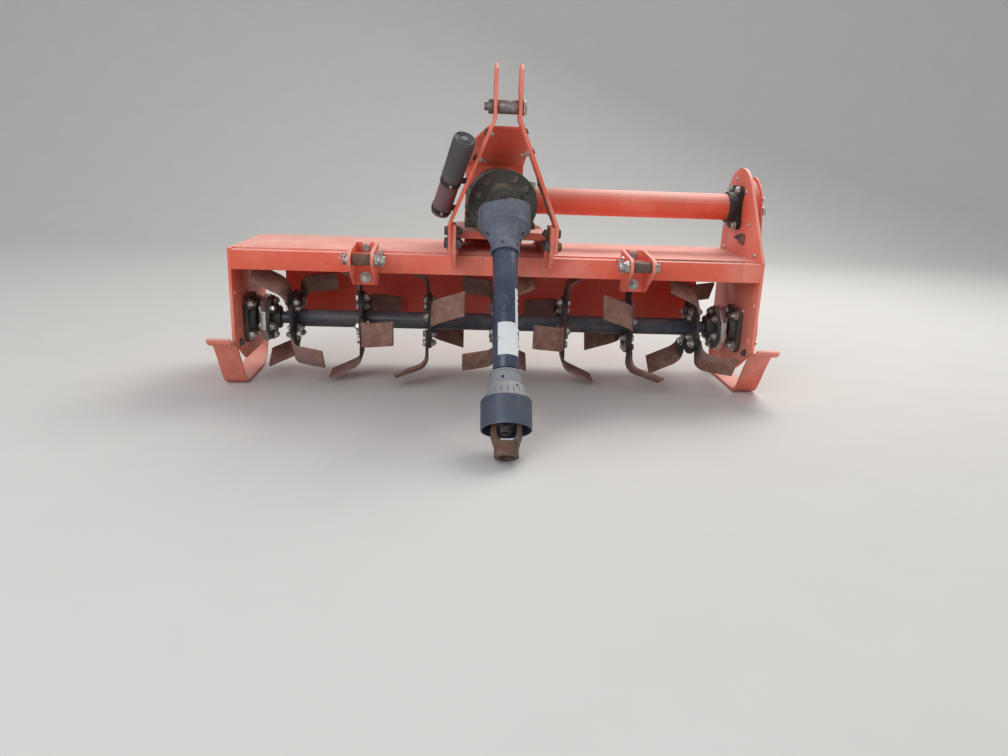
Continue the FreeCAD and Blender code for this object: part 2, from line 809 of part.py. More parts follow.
# The ear flange's waisted outline, as shares of half its depth and height
EAR_OUTLINE = (
    (0.66, 1.0), (1.0, 0.72), (0.82, 0.30), (0.82, -0.30), (1.0, -0.72), (0.66, -1.0),
    (-0.66, -1.0), (-1.0, -0.72), (-0.82, -0.30), (-0.82, 0.30), (-1.0, 0.72), (-0.66, 1.0),
)


def make_canister():
    lean = Vector(size.canister_lean_x, size.canister_lean_y, size.canister_lean_z)
    turn = Rotation(Vector(0, 0, 1), lean)
    foot = Vector(size.canister_x, size.front_y + size.canister_y, size.bar_top + size.canister_z)

    def tube(name, radius, start, length):
        item = doc.addObject("Part::Cylinder", name)
        bind(item, "Radius", radius)
        bind(item, "Height", length)
        item.Placement = Placement(foot + turn.multVec(Vector(0, 0, start)), turn)
        return item
    seam = size.canister_length - size.canister_cap
    lower = tube("manual_canister", "canister_r", 0, "canister_length - canister_cap")
    node("manual_canister", lower)
    cap = tube("canister_cap", "canister_cap_r", seam, "canister_cap")
    node("canister_cap", cap)
    clips = []
    for i, height in enumerate((16, seam - 14)):
        band = tube("canister_band_%d" % i, "canister_r + 2", height - 6, 12)
        centre = foot + turn.multVec(Vector(0, 0, height))
        arm = doc.addObject("Part::Box", "canister_arm_%d" % i)
        arm.Length = 2 * size.canister_cap_r + 20
        arm.Width = 18
        arm.Height = 14
        arm.Placement = Placement(centre + Vector(0, -9, -7), Rotation())
        tools = [lower, cap, mast_side("canister_trim_%d" % i)]
        clips.append(cut("canister_clip_%d" % i, fuse("canister_clip_form_%d" % i, [band, arm]),
                         tools))
    node("canister_brackets", fuse("canister_brackets", clips))


def mast_side(name):
    """All that lies on the inner side of the left mast plate's sloped outer face."""
    inner = [Vector(-x, z, 0) for x, z in mast_face()]
    run = (inner[1] - inner[0]).normalize()
    outward = Vector(run.y, -run.x, 0)
    ends = [inner[0] - run * 60, inner[1] + run * 60]
    corners = [(p.x, p.y) for p in (e + outward * size.mast_thickness for e in ends)]
    corners += [(0, corners[1][1]), (0, corners[0][1])]
    return plate(name, "XZ", corners, "front_y - frame_depth / 2", "frame_depth")


# Rotor

def make_bearings():
    low = (INNER_X + " - bearing_plate", ROTOR_Y + " - bearing_side / 2",
           "rotor_z - bearing_side / 2")
    square = box("bearing_square", low, ("bearing_plate", "bearing_side", "bearing_side"))
    corner_cut = rod("bearing_corner", "bearing_side * 0.62", "bearing_plate",
                     (INNER_X + " - bearing_plate", ROTOR_Y, "rotor_z"), "x")
    flange = common("bearing_flange", [square, corner_cut])
    boss_start = INNER_X + " - bearing_plate - bearing_boss"
    boss = rod("bearing_boss", "bearing_boss_r", "bearing_boss", (boss_start, ROTOR_Y, "rotor_z"),
               "x")
    bore = rod("bearing_bore", "stub_r + hinge_clearance", "bearing_boss + bearing_plate",
               (boss_start, ROTOR_Y, "rotor_z"), "x")
    right = cut("bearing_right", fuse("bearing_solid", [flange, boss]), [bore])
    node("bearing_right", right)
    node("bearing_left", mirrored("bearing_left", right))


def shaft_half():
    inner = size.half_width - size.side_thickness
    bearing = size.bearing_plate + size.bearing_boss
    return inner - bearing - size.shaft_gap - size.end_disc_thickness


def flange_pitch():
    return 2 * (shaft_half() - size.shaft_overhang) / (FLANGES - 1)


def make_rotor_shaft():
    reach = "(%s - shaft_overhang + 1.5 * flange_thickness)" % SHAFT_X
    tube = rod("rotor_tube", "shaft_r", "2 * " + reach, ("-" + reach, ROTOR_Y, "rotor_z"), "x")
    neck = rod("rotor_neck", "0.7 * shaft_r", "2 * " + SHAFT_X, ("-" + SHAFT_X, ROTOR_Y, "rotor_z"),
               "x")
    pieces = [tube, neck]
    stub = "(%s - %s)" % (INNER_X, SHAFT_X)
    for side, start in (("left", "-" + INNER_X), ("right", SHAFT_X)):
        pieces.append(rod("rotor_stub_" + side, "stub_r", stub, (start, ROTOR_Y, "rotor_z"), "x"))
    node("rotor_shaft", fuse("rotor_shaft", pieces))

    corners = []
    for i in range(8):
        angle = math.radians(22.5 + 45 * i)
        corners.append(("%s + %.5f * end_disc_r" % (ROTOR_Y, math.cos(angle)),
                        "rotor_z + %.5f * end_disc_r" % math.sin(angle)))
    blank = plate("rotor_flange_plate", "YZ", corners, SHAFT_X, "end_disc_thickness")
    bore = rod("rotor_flange_bore", "stub_r", "end_disc_thickness", (SHAFT_X, ROTOR_Y, "rotor_z"),
               "x")
    right = cut("rotor_flange_right", blank, [bore])
    node("rotor_flange_right", right)
    node("rotor_flange_left", mirrored("rotor_flange_left", right))


def make_tine():
    """One bent blade for the right-hand face of a flange, standing straight up at the origin."""
    face = size.flange_thickness / 2
    bend = size.blade_bend_r
    thick = size.blade_thickness
    inner_r = bend - thick
    root = size.blade_root
    reach = size.blade_reach
    half = size.shank_half
    lead = size.blade_lead
    trail = size.blade_trail
    slope = math.radians(size.blade_slope)
    # the far corner of the blade's end runs on the swing circle
    far = trail + size.blade_shift
    high = math.sqrt(size.swing_r ** 2 - far ** 2)
    rise = math.tan(slope) * (reach - face - bend * (1 - math.sin(slope)))
    centre = Vector(face + bend, high - rise - bend * math.cos(slope), 0)
    end = Vector(reach, high, 0)
    inward = Vector(math.sin(slope), -math.cos(slope), 0) * thick

    def on_bend(radius, turn):
        angle = turn * (math.pi / 2 - slope)
        return centre + Vector(-radius * math.cos(angle), radius * math.sin(angle), 0)

    def arc(start, middle, stop):
        return Part.Arc(start, middle, stop).toShape()

    def line(start, stop):
        return Part.LineSegment(start, stop).toShape()
    strip = Part.Face(Part.Wire([
        line(Vector(face + thick, root, 0), Vector(face, root, 0)),
        line(Vector(face, root, 0), on_bend(bend, 0)),
        arc(on_bend(bend, 0), on_bend(bend, 0.5), on_bend(bend, 1)),
        line(on_bend(bend, 1), end),
        line(end, end + inward),
        line(end + inward, on_bend(inner_r, 1)),
        arc(on_bend(inner_r, 1), on_bend(inner_r, 0.5), on_bend(inner_r, 0)),
        line(on_bend(inner_r, 0), Vector(face + thick, root, 0)),
    ])).extrude(Vector(0, 0, 2 * size.swing_r))
    strip.translate(Vector(0, 0, -size.swing_r))
    strip.rotate(Vector(), Vector(1, 0, 0), 90)

    waist = size.flange_r - size.flange_thickness / 2
    outline = Part.makePolygon([
        Vector(0, -half, root - 1), Vector(0, -half, waist), Vector(0, -lead, centre.y),
        Vector(0, -lead, high + 1), Vector(0, far, high + 1), Vector(0, far, centre.y),
        Vector(0, half, waist), Vector(0, half, root - 1), Vector(0, -half, root - 1),
    ])
    wide = reach + thick
    front = Part.Face(outline).extrude(Vector(wide, 0, 0))
    plan = Part.makePolygon([
        Vector(0, -lead, 0), Vector(wide, size.blade_shift - lead, 0), Vector(wide, far, 0),
        Vector(0, trail, 0), Vector(0, -lead, 0),
    ])
    return strip.common(front).common(Part.Face(plan).extrude(Vector(0, 0, size.swing_r)))


def make_tine_sets():
    thick = size.flange_thickness
    flange = Part.makeCylinder(size.flange_r, thick, Vector(-thick / 2, 0, 0), Vector(1, 0, 0))
    hole = Part.makeCylinder(size.shaft_r, thick, Vector(-thick / 2, 0, 0), Vector(1, 0, 0))
    right = make_tine()
    left = right.mirror(Vector(), Vector(1, 0, 0))
    blades = []
    for i in range(BLADES):
        blade = (right if i % 2 == 0 else left).copy()
        blade.rotate(Vector(), Vector(1, 0, 0), i * 360 / BLADES)
        blades.append(blade)
    star = flange.cut(hole).fuse(blades).removeSplitter()
    for k in range(FLANGES):
        item = doc.addObject("Part::Feature", "tine_set_%d" % (k + 1))
        item.Shape = star
        x = (k - (FLANGES - 1) / 2) * flange_pitch()
        turn = Rotation(Vector(1, 0, 0), FIRST_ANGLE - size.helix_angle * k)
        item.Placement = Placement(
            Vector(x, size.front_y + size.rotor_y, size.rotor_z), turn)
        node("tine_set_%d" % (k + 1), item)


# Tailgate

def make_hinge_rod():
    half = "(%s + 2 * hinge_ear)" % TAIL_X
    node("hinge_rod", rod("hinge_rod", "hinge_rod_r", "2 * " + half,
                          ("-" + half, HINGE_Y, HINGE_Z), "x"))


def make_tailgate():
    radius = size.tail_curve
    thick = size.tail_thickness
    hinge_y = size.front_y + size.frame_depth + size.hinge_back
    hinge_z = size.bar_top - size.hinge_barrel_r
    low_z = hinge_z - size.tail_drop
    half_drop = size.tail_drop / 2
    sag = radius - math.sqrt(radius ** 2 - half_drop ** 2)
    # the sheet's middle of mass lies under the rod, so the tailgate hangs straight
    top_y = hinge_y - thick / 2 - sag * 2 / 3
    hem_y = top_y + size.tail_hem
    edges = [
        Part.LineSegment(Vector(top_y + thick, hinge_z, 0), Vector(top_y, hinge_z, 0)),
        Part.Arc(Vector(top_y, hinge_z, 0), Vector(top_y + sag, hinge_z - half_drop, 0),
                 Vector(top_y, low_z, 0)),
        Part.LineSegment(Vector(top_y, low_z, 0), Vector(hem_y, low_z, 0)),
        Part.LineSegment(Vector(hem_y, low_z, 0), Vector(hem_y, low_z + thick, 0)),
        Part.LineSegment(Vector(hem_y, low_z + thick, 0), Vector(top_y + thick, low_z + thick, 0)),
        Part.Arc(Vector(top_y + thick, low_z + thick, 0),
                 Vector(top_y + thick + sag, hinge_z - half_drop, 0),
                 Vector(top_y + thick, hinge_z, 0)),
    ]
    sheet_metal = profile_body("tailgate_sheet", edges, "-" + TAIL_X, "2 * " + TAIL_X)
    barrel = rod("tailgate_barrel", "hinge_barrel_r", "2 * " + TAIL_X,
                 ("-" + TAIL_X, HINGE_Y, HINGE_Z), "x")
    tools = [rod("tailgate_bore", "hinge_rod_r + hinge_clearance", "2 * " + TAIL_X,
                 ("-" + TAIL_X, HINGE_Y, HINGE_Z), "x")]
    gap = "(hinge_ear + 2 * hinge_space)"
    for i, place_x in enumerate(EAR_PLACES[1:3]):
        low = ("%s - %s / 2" % (place_x, gap), HINGE_Y + " - 2 * hinge_barrel_r",
               HINGE_Z + " - 2 * hinge_barrel_r")
        tools.append(box("tailgate_gap_%d" % i, low,
                         (gap, "4 * hinge_barrel_r", "4 * hinge_barrel_r")))
    node("tailgate", cut("tailgate", fuse("tailgate_solid", [sheet_metal, barrel]), tools))


# Driveline: its parts are made along Z from the upper joint's centre and then laid along the shaft

def shaft_place(distance, backwards=False, quarter=0):
    tilt = Rotation(Vector(1, 0, 0), 90 + size.drive_angle)
    direction = tilt.multVec(Vector(0, 0, 1))
    joint = Vector(0, size.front_y + size.joint_y, size.bar_top + size.chain_z)
    if backwards:
        tilt = tilt.multiply(Rotation(Vector(1, 0, 0), 180))
    return Placement(joint + direction * distance, tilt.multiply(Rotation(Vector(0, 0, 1), quarter)))


def fork(name, hub_radius, hub_end, bored, plug=None):
    """A yoke whose two arms stand apart along X, with the joint's centre at the origin."""
    arch = "(2 * fork_slot)"
    hub_start = "(%s + fork_half - fork_slot)" % arch
    block = box(name + "_block", ("-fork_half", "-fork_width", 0),
                ("2 * fork_half", "2 * fork_width", hub_start))
    eyes = rod(name + "_eyes", "fork_width", "2 * fork_half", ("-fork_half", 0, 0), "x")
    hub = rod(name + "_hub", hub_radius, "%s - %s" % (hub_end, arch), (0, 0, arch), "z")
    solid = fuse(name + "_solid", [block, eyes, hub])
    tools = [
        box(name + "_slot", ("-fork_slot", "-2 * fork_width", "-2 * fork_width"),
            ("2 * fork_slot", "4 * fork_width", "2 * fork_width + fork_slot")),
        rod(name + "_arch", "fork_slot", "4 * fork_width", (0, "-2 * fork_width", "fork_slot"), "y"),
        rod(name + "_journals", "journal_r + journal_clearance", "2 * fork_half",
            ("-fork_half", 0, 0), "x"),
    ]
    if bored:
        tools.append(rod(name + "_bore", "power_r", hub_end, (0, 0, "fork_slot"), "z"))
    rounded = turned(name + "_hull", (
        (0, "-fork_half"),
        ("fork_half + 1", "-fork_half"),
        ("fork_half + 1", "fork_half - fork_round"),
        (hub_radius, hub_start),
        (hub_radius, hub_end),
        (0, hub_end),
    ))
    form = common(name + "_form", [solid, rounded])
    if plug:
        start, radius = plug
        collar = rod(name + "_plug", radius, "%s - %s" % (hub_end, start), (0, 0, start), "z")
        form = fuse(name + "_plugged", [form, collar])
    return cut(name, form, tools)


def cross(name):
    arm = "(fork_half - 1)"
    core = "-cross_core"
    return fuse(name, [
        rod(name + "_a", "journal_r", "2 * " + arm, ("-" + arm, 0, 0), "x"),
        rod(name + "_b", "journal_r", "2 * " + arm, (0, "-" + arm, 0), "y"),
        box(name + "_core", (core, core, core), ("2 * cross_core",) * 3),
    ])


def ring(name, outer, inner, start, end):
    tube = rod(name + "_outside", outer, "%s - %s" % (end, start), (0, 0, start), "z")
    hollow = rod(name + "_inside", inner, "%s - %s" % (end, start), (0, 0, start), "z")
    return cut(name, tube, [hollow])


def make_driveline():
    bore = "(inner_tube_r + tube_clearance)"
    inner_bore = "(inner_tube_r - inner_tube_wall)"

    input_yoke = fork("input_yoke", "drive_hub_r", "(nose_face - nose_flange - cap_depth - joint_y)",
                      True)
    input_yoke.Placement = Placement(
        Vector(0, size.front_y + size.joint_y, size.bar_top + size.chain_z),
        Rotation(Vector(1, 0, 0), -90))
    node("input_yoke", input_yoke)

    upper_cross = cross("upper_cross")
    upper_cross.Placement = shaft_place(0)
    node("upper_cross", upper_cross)

    upper_yoke = fork("upper_yoke", "drive_hub_r", "drive_hub_end", False,
                      ("(drive_hub_end - plug_length)", bore))
    upper_yoke.Placement = shaft_place(0, quarter=90)
    node("upper_yoke", upper_yoke)

    outer_tube = ring("outer_tube", "outer_tube_r", bore, "bell_neck", "outer_tube_end")
    outer_tube.Placement = shaft_place(0)
    node("outer_tube", outer_tube)

    upper_bell = turned("upper_bell", (
        ("bell_r", "bell_rim"),
        ("bell_waist_r", "bell_shoulder"),
        ("bell_waist_r - bell_step", "bell_shoulder + bell_step"),
        ("bell_neck_r", "bell_neck"),
        ("bell_neck_r", "bell_end"),
        ("outer_tube_r", "bell_end"),
        ("outer_tube_r", "bell_neck"),
        ("bell_waist_r - bell_step - bell_wall", "bell_shoulder"),
        ("bell_r - bell_wall", "bell_rim"),
    ))
    upper_bell.Placement = shaft_place(0)
    node("upper_bell", upper_bell)

    inner_tube = ring("inner_tube", "inner_tube_r", inner_bore, "inner_tube_start", "far_cone + bell_wall")
    inner_tube.Placement = shaft_place(0)
    node("inner_tube", inner_tube)

    lower_bell = turned("lower_bell", (
        ("inner_tube_r", "far_collar"),
        ("far_lip_r", "far_collar"),
        ("far_lip_r", "far_collar + bell_wall"),
        ("far_collar_r", "far_collar + 2 * bell_wall"),
        ("far_collar_r", "far_cone"),
        ("far_cone_r", "far_cone"),
        ("far_shoulder_r", "far_shoulder"),
        ("far_bell_r", "far_shoulder + bell_wall"),
        ("far_bell_r", "far_rim"),
        ("far_bell_r - bell_wall", "far_rim"),
        ("far_bell_r - bell_wall", "far_shoulder + 2 * bell_wall"),
        ("far_shoulder_r - bell_wall", "far_shoulder + 1"),
        ("far_cone_r - bell_wall", "far_cone + bell_wall"),
        ("inner_tube_r", "far_cone + bell_wall"),
    ))
    lower_bell.Placement = shaft_place(0)
    node("lower_bell", lower_bell)

    lower_yoke = fork("lower_yoke", inner_bore, "(lower_joint - far_collar)", False)
    lower_yoke.Placement = shaft_place(size.lower_joint, backwards=True, quarter=90)
    node("lower_yoke", lower_yoke)

    lower_cross = cross("lower_cross")
    lower_cross.Placement = shaft_place(size.lower_joint)
    node("lower_cross", lower_cross)

    # the tractor's yoke is as long as lets the rim of its hub meet the floor
    angle = math.radians(size.drive_angle)
    joint_z = size.bar_top + size.chain_z
    reach = (joint_z - size.fork_hub_r * math.cos(angle)) / math.sin(angle)
    tractor_yoke = fork("tractor_yoke", "fork_hub_r", "%.4f" % (reach - size.lower_joint), True)
    tractor_yoke.Placement = shaft_place(size.lower_joint)
    node("tractor_yoke", tractor_yoke)


# Build, check and write

def check_and_write():
    doc.recompute()
    for item in doc.Objects:
        state = item.State
        if "Invalid" in state or "Error" in state:
            raise RuntimeError("%s failed: %s" % (item.Name, state))
    for item in NODES:
        if item.Shape.isNull() or not item.Shape.isValid() or not item.Shape.Solids:
            raise RuntimeError("%s has no valid solid" % item.Label)
    os.makedirs("parts", exist_ok=True)
    for item in NODES:
        item.Shape.exportStep("parts/%s.step" % item.Label)
    total = sum(item.Shape.Volume for item in NODES)
    box_all = FreeCAD.BoundBox()
    for item in NODES:
        box_all.add(item.Shape.BoundBox)
    print("nodes %d, volume %.5f m3, box %s" % (len(NODES), total / 1e9, box_all))


fill_sheet()
make_front_bar()
make_hood()
make_side_plates()
make_chain_case()
make_skids()
make_mast()
make_mast_lugs()
make_top_pin()
make_clevises()
make_lower_pins()
make_pedestal()
make_rear_panel()
make_gearbox()
make_cross_tube()
make_canister()
make_bearings()
make_rotor_shaft()
make_tine_sets()
make_hinge_rod()
make_tailgate()
make_driveline()
check_and_write()
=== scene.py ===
import json
import math

import bmesh
import bpy
from mathutils import Matrix, Vector, noise


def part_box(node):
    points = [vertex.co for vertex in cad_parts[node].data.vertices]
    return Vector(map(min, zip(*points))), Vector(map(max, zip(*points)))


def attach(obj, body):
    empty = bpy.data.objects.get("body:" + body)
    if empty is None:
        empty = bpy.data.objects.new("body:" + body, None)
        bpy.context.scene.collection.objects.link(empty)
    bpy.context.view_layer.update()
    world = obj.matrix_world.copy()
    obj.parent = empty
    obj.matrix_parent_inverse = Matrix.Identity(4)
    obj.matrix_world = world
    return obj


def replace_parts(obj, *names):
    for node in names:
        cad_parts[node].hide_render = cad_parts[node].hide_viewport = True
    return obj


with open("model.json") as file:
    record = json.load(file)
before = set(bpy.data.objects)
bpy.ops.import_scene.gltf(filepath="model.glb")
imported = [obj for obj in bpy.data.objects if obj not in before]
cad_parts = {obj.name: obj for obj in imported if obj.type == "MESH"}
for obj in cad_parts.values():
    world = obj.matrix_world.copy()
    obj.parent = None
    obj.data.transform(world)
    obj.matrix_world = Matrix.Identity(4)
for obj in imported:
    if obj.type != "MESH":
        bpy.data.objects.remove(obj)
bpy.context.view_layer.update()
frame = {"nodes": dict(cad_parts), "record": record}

# Shared places, in metres. X goes to the picture's right, Y goes back from the tractor, Z goes up.
BAR_LOW, BAR_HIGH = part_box("front_bar")
FRONT = BAR_LOW.y
TOP = BAR_HIGH.z
SIDE_IN = BAR_HIGH.x
SIDE_OUT = 0.700
COVER_FACE = 0.736
COVER_RIM = 0.733
LUG_IN = 0.118
CLEVIS_IN = 0.318
CLEVIS_OUT = 0.382
MAST_OUT = 0.138
MAST_FOOT = Vector((0.130, 0, TOP + 0.085))
MAST_HEAD = Vector((0.026, 0, TOP + 0.337))
MAST_THICKNESS = 0.008
ROTOR = Vector((0, FRONT + 0.150, 0.180))
GEAR = Vector((0, FRONT + 0.236, TOP + 0.133))
JOINT = Vector((0, FRONT - 0.085, TOP + 0.133))
DRIVE_ANGLE = math.radians(52)
ALONG = Vector((0, -math.cos(DRIVE_ANGLE), -math.sin(DRIVE_ANGLE)))
LOWER_JOINT = 0.559
X = Vector((1, 0, 0))
Y = Vector((0, 1, 0))
Z = Vector((0, 0, 1))
SIDES = (-1, 1)
SHARP_ANGLE = math.radians(32)


def spot(x, back, up):
    """A place by its distance behind the bar's front and above the bar's top."""
    return Vector((x, FRONT + back, TOP + up))


def circle(degrees, radius):
    """The two coordinates of a point on a circle round zero."""
    a = math.radians(degrees)
    return radius * math.cos(a), radius * math.sin(a)


# Camera, lights and floor

def make_camera():
    pitch, yaw, roll = (math.radians(a) for a in (16.0, -3.6, 2.1))
    look = Vector((-math.sin(yaw) * math.cos(pitch), math.cos(yaw) * math.cos(pitch), -math.sin(pitch)))
    level = Vector((math.cos(yaw), math.sin(yaw), 0))
    upright = level.cross(look)
    right = level * math.cos(roll) + upright * math.sin(roll)
    up = upright * math.cos(roll) - level * math.sin(roll)
    data = bpy.data.cameras.new("camera")
    data.sensor_width = 36
    data.lens = 28
    data.clip_end = 60
    camera = bpy.data.objects.new("camera", data)
    bpy.context.scene.collection.objects.link(camera)
    turn = Matrix((right, up, -look)).transposed().to_4x4()
    camera.matrix_world = Matrix.Translation((-0.11, FRONT - 2.04, TOP + 0.26)) @ turn
    bpy.context.scene.camera = camera


def add_light(name, place, aim, side, power, colour):
    data = bpy.data.lights.new(name, "AREA")
    data.shape = "SQUARE"
    data.size = side
    data.energy = power
    data.color = colour
    light = bpy.data.objects.new(name, data)
    bpy.context.scene.collection.objects.link(light)
    light.location = place
    light.rotation_euler = (Vector(aim) - Vector(place)).to_track_quat("-Z", "Y").to_euler()


def make_stage():
    """Soft light, and a floor that curves up into a wall behind the machine."""
    world = bpy.data.worlds.new("studio")
    bpy.context.scene.world = world
    world.use_nodes = True
    back = world.node_tree.nodes["Background"]
    back.inputs["Color"].default_value = (0.93, 0.95, 1.0, 1)
    back.inputs["Strength"].default_value = 0.55
    add_light("key", (1.6, 1.9, 3.2), (0, 0.1, 0.3), 2.2, 105, (1, 0.97, 0.92))
    add_light("fill", (-1.9, -3.1, 2.3), (0, 0, 0.3), 2.6, 62, (0.97, 0.98, 1))
    near_end = -9
    curve_start = 3.2
    curve_radius = 2.4
    wall_height = 9
    half_width = 12
    rows = [(near_end, 0), (curve_start, 0)]
    for i in range(1, 13):
        a = math.radians(7.5 * i)
        rows.append((curve_start + curve_radius * math.sin(a), curve_radius - curve_radius * math.cos(a)))
    rows.append((curve_start + curve_radius, wall_height))
    bm = bmesh.new()
    pairs = [[bm.verts.new((x, y, z)) for x in (-half_width, half_width)] for y, z in rows]
    for a, b in zip(pairs, pairs[1:]):
        bm.faces.new((a[0], a[1], b[1], b[0]))
    floor = finish_mesh("studio_floor", bm)
    m = Mat("floor_matt")
    m.put("Base Color", m.mix(m.noise(6, 4), (0.62, 0.61, 0.585), (0.66, 0.65, 0.625)))
    m.put("Roughness", 0.9)
    floor.data.materials.append(m.mat)


# Materials

class Mat:
    """A procedural material: a few short calls that add nodes and return sockets."""

    def __init__(self, name):
        self.mat = bpy.data.materials.new(name)
        self.mat.use_nodes = True
        self.tree = self.mat.node_tree
        self.shader = self.tree.nodes["Principled BSDF"]
        self.where = self.add("ShaderNodeTexCoord").outputs["Object"]
        self.geometry = self.add("ShaderNodeNewGeometry")

    def add(self, kind, **props):
        item = self.tree.nodes.new(kind)
        for key, value in props.items():
            setattr(item, key, value)
        return item

    def feed(self, socket, value):
        if isinstance(value, bpy.types.NodeSocket):
            self.tree.links.new(value, socket)
        elif isinstance(value, (tuple, list, Vector)) and len(value) == 3 and socket.type == "RGBA":
            socket.default_value = (*value, 1)
        else:
            socket.default_value = value

    def put(self, name, value):
        self.feed(self.shader.inputs[name], value)

    def calc(self, kind, a, b, clamp=False):
        item = self.add("ShaderNodeMath", operation=kind, use_clamp=clamp)
        self.feed(item.inputs[0], a)
        self.feed(item.inputs[1], b)
        return item.outputs[0]

    def times(self, a, b):
        return self.calc("MULTIPLY", a, b)

    def plus(self, a, b, clamp=False):
        return self.calc("ADD", a, b, clamp)

    def stretch(self, scale):
        item = self.add("ShaderNodeMapping")
        self.feed(item.inputs["Vector"], self.where)
        item.inputs["Scale"].default_value = scale
        return item.outputs[0]

    def noise(self, scale, detail, rough=0.55, bend=0.0, at=None):
        item = self.add("ShaderNodeTexNoise")
        self.feed(item.inputs["Vector"], at or self.where)
        item.inputs["Scale"].default_value = scale
        item.inputs["Detail"].default_value = detail
        item.inputs["Roughness"].default_value = rough
        item.inputs["Distortion"].default_value = bend
        return item.outputs["Fac"]

    def span(self, value, low, high):
        """0 where the value is at low, 1 where it is at high, and smooth between them."""
        item = self.add("ShaderNodeMapRange", clamp=True, interpolation_type="SMOOTHSTEP")
        self.feed(item.inputs["Value"], value)
        item.inputs["From Min"].default_value = low
        item.inputs["From Max"].default_value = high
        return item.outputs[0]

    def patches(self, scale, detail, rough, low, high, bend=0.0, at=None):
        """A mask of noise, cut between a low and a high value."""
        return self.span(self.noise(scale, detail, rough, bend, at), low, high)

    def mix(self, share, a, b):
        item = self.add("ShaderNodeMix", data_type="RGBA")
        self.feed(item.inputs[0], share)
        self.feed(item.inputs[6], a)
        self.feed(item.inputs[7], b)
        return item.outputs[2]

    def cover(self, colour, mask, share, tone):
        """Lays a tone over a colour where the mask is, up to a share."""
        return self.mix(self.times(mask, share), colour, tone)

    def axis(self, index):
        item = self.add("ShaderNodeSeparateXYZ")
        self.feed(item.inputs[0], self.where)
        return item.outputs[index]

    def radius(self, centre):
        """Distance from a line along X."""
        away = self.add("ShaderNodeVectorMath", operation="SUBTRACT")
        flat = self.add("ShaderNodeVectorMath", operation="MULTIPLY")
        length = self.add("ShaderNodeVectorMath", operation="LENGTH")
        self.feed(away.inputs[0], self.where)
        away.inputs[1].default_value = centre
        self.feed(flat.inputs[0], away.outputs[0])
        flat.inputs[1].default_value = (0, 1, 1)
        self.feed(length.inputs[0], flat.outputs[0])
        return length.outputs["Value"]

    def upward(self, low=0.25, high=0.85):
        item = self.add("ShaderNodeSeparateXYZ")
        self.feed(item.inputs[0], self.geometry.outputs["Normal"])
        return self.span(item.outputs[2], low, high)

    def edges(self, radius, low=0.02, high=0.22):
        """Where the surface turns within a small radius."""
        item = self.add("ShaderNodeBevel", samples=4)
        item.inputs["Radius"].default_value = radius
        dot = self.add("ShaderNodeVectorMath", operation="DOT_PRODUCT")
        self.feed(dot.inputs[0], item.outputs[0])
        self.feed(dot.inputs[1], self.geometry.outputs["Normal"])
        return self.span(self.calc("SUBTRACT", 1.0, dot.outputs["Value"]), low, high)

    def bump(self, height, distance, strength):
        item = self.add("ShaderNodeBump")
        self.feed(item.inputs["Height"], height)
        item.inputs["Distance"].default_value = distance
        item.inputs["Strength"].default_value = strength
        self.put("Normal", item.outputs[0])


def painted(name, base, faded, grime, gloss=0.38, mud=0.35, dust=0.35, chips=0.5, bare=(0.13, 0.075, 0.05),
            pale=(0.47, 0.40, 0.32), top_highlight=0.0, splash=0.75, drips=None):
    """Weathered paint: faded, streaked, splashed with soil low down, dusty on top and chipped at its edges.
    drips is the start, the end and the tone of a stretch along X that dirty water has run down."""
    m = Mat(name)
    colour = m.mix(m.patches(2.6, 5, 0.6, 0.38, 0.66), base, faded)
    colour = m.cover(colour, m.patches(31, 5, 0.7, 0.5, 0.75), 0.35, faded)
    streaks = m.patches(9, 6, 0.62, 0.52, 0.74, 0.6, m.stretch((3.2, 3.2, 0.5)))
    colour = m.cover(colour, streaks, mud, grime)
    low = m.times(m.span(m.axis(2), 0.26, 0.02), m.patches(22, 7, 0.7, 0.36, 0.62))
    colour = m.cover(colour, low, splash, (0.30, 0.21, 0.145))
    if drips:
        start, end, tone = drips
        wet = m.span(m.axis(0), start - 0.03, start + 0.02)
        band = m.times(wet, m.span(m.axis(0), end + 0.03, end - 0.02))
        runs = m.patches(9, 7, 0.68, 0.38, 0.70, 0.5, m.stretch((7.0, 1.0, 1.1)))
        colour = m.cover(colour, band, m.times(runs, 0.42), tone)
    # Painted highlight: every upward face is lightened towards the pale tone by a fixed share.
    colour = m.cover(colour, m.upward(0.1, 0.95), top_highlight, pale)
    lying = m.times(m.upward(), m.patches(13, 6, 0.66, 0.30, 0.75))
    colour = m.cover(colour, lying, dust, pale)
    edge = m.times(m.edges(0.0035), m.patches(46, 5, 0.7, 0.46, 0.60))
    spots = m.times(m.patches(70, 3, 0.5, 0.70, 0.74), 0.8)
    chip = m.times(m.calc("MAXIMUM", edge, spots), chips)
    m.put("Base Color", m.mix(chip, colour, bare))
    rough = m.plus(gloss, m.times(m.noise(12, 4), 0.22))
    rough = m.plus(rough, m.times(m.calc("MAXIMUM", lying, low), 0.3), clamp=True)
    m.put("Roughness", m.calc("MAXIMUM", rough, m.times(chip, 0.8)))
    m.bump(m.plus(m.noise(240, 3), m.times(m.noise(24, 4), 1.6)), 0.0008, 0.35)
    return m.mat


def metal(name, dark, light, rust, share, rough=0.42, shine=0.85):
    """Bare or plated steel. share sets how much of it is rusty."""
    m = Mat(name)
    colour = m.mix(m.patches(60, 5, 0.6, 0.35, 0.7), dark, light)
    rusty = m.patches(18, 7, 0.68, 0.62 - 0.3 * share, 0.80 - 0.3 * share, 0.4)
    tone = m.mix(m.noise(90, 4, 0.7), rust, tuple(c * 0.55 for c in rust))
    m.put("Base Color", m.mix(rusty, colour, tone))
    m.put("Metallic", m.times(m.calc("SUBTRACT", 1.0, rusty), shine))
    m.put("Roughness", m.plus(rough, m.times(rusty, 0.4), clamp=True))
    m.bump(m.plus(m.noise(300, 4, 0.6), m.times(rusty, 1.2)), 0.0006, 0.5)
    return m.mat


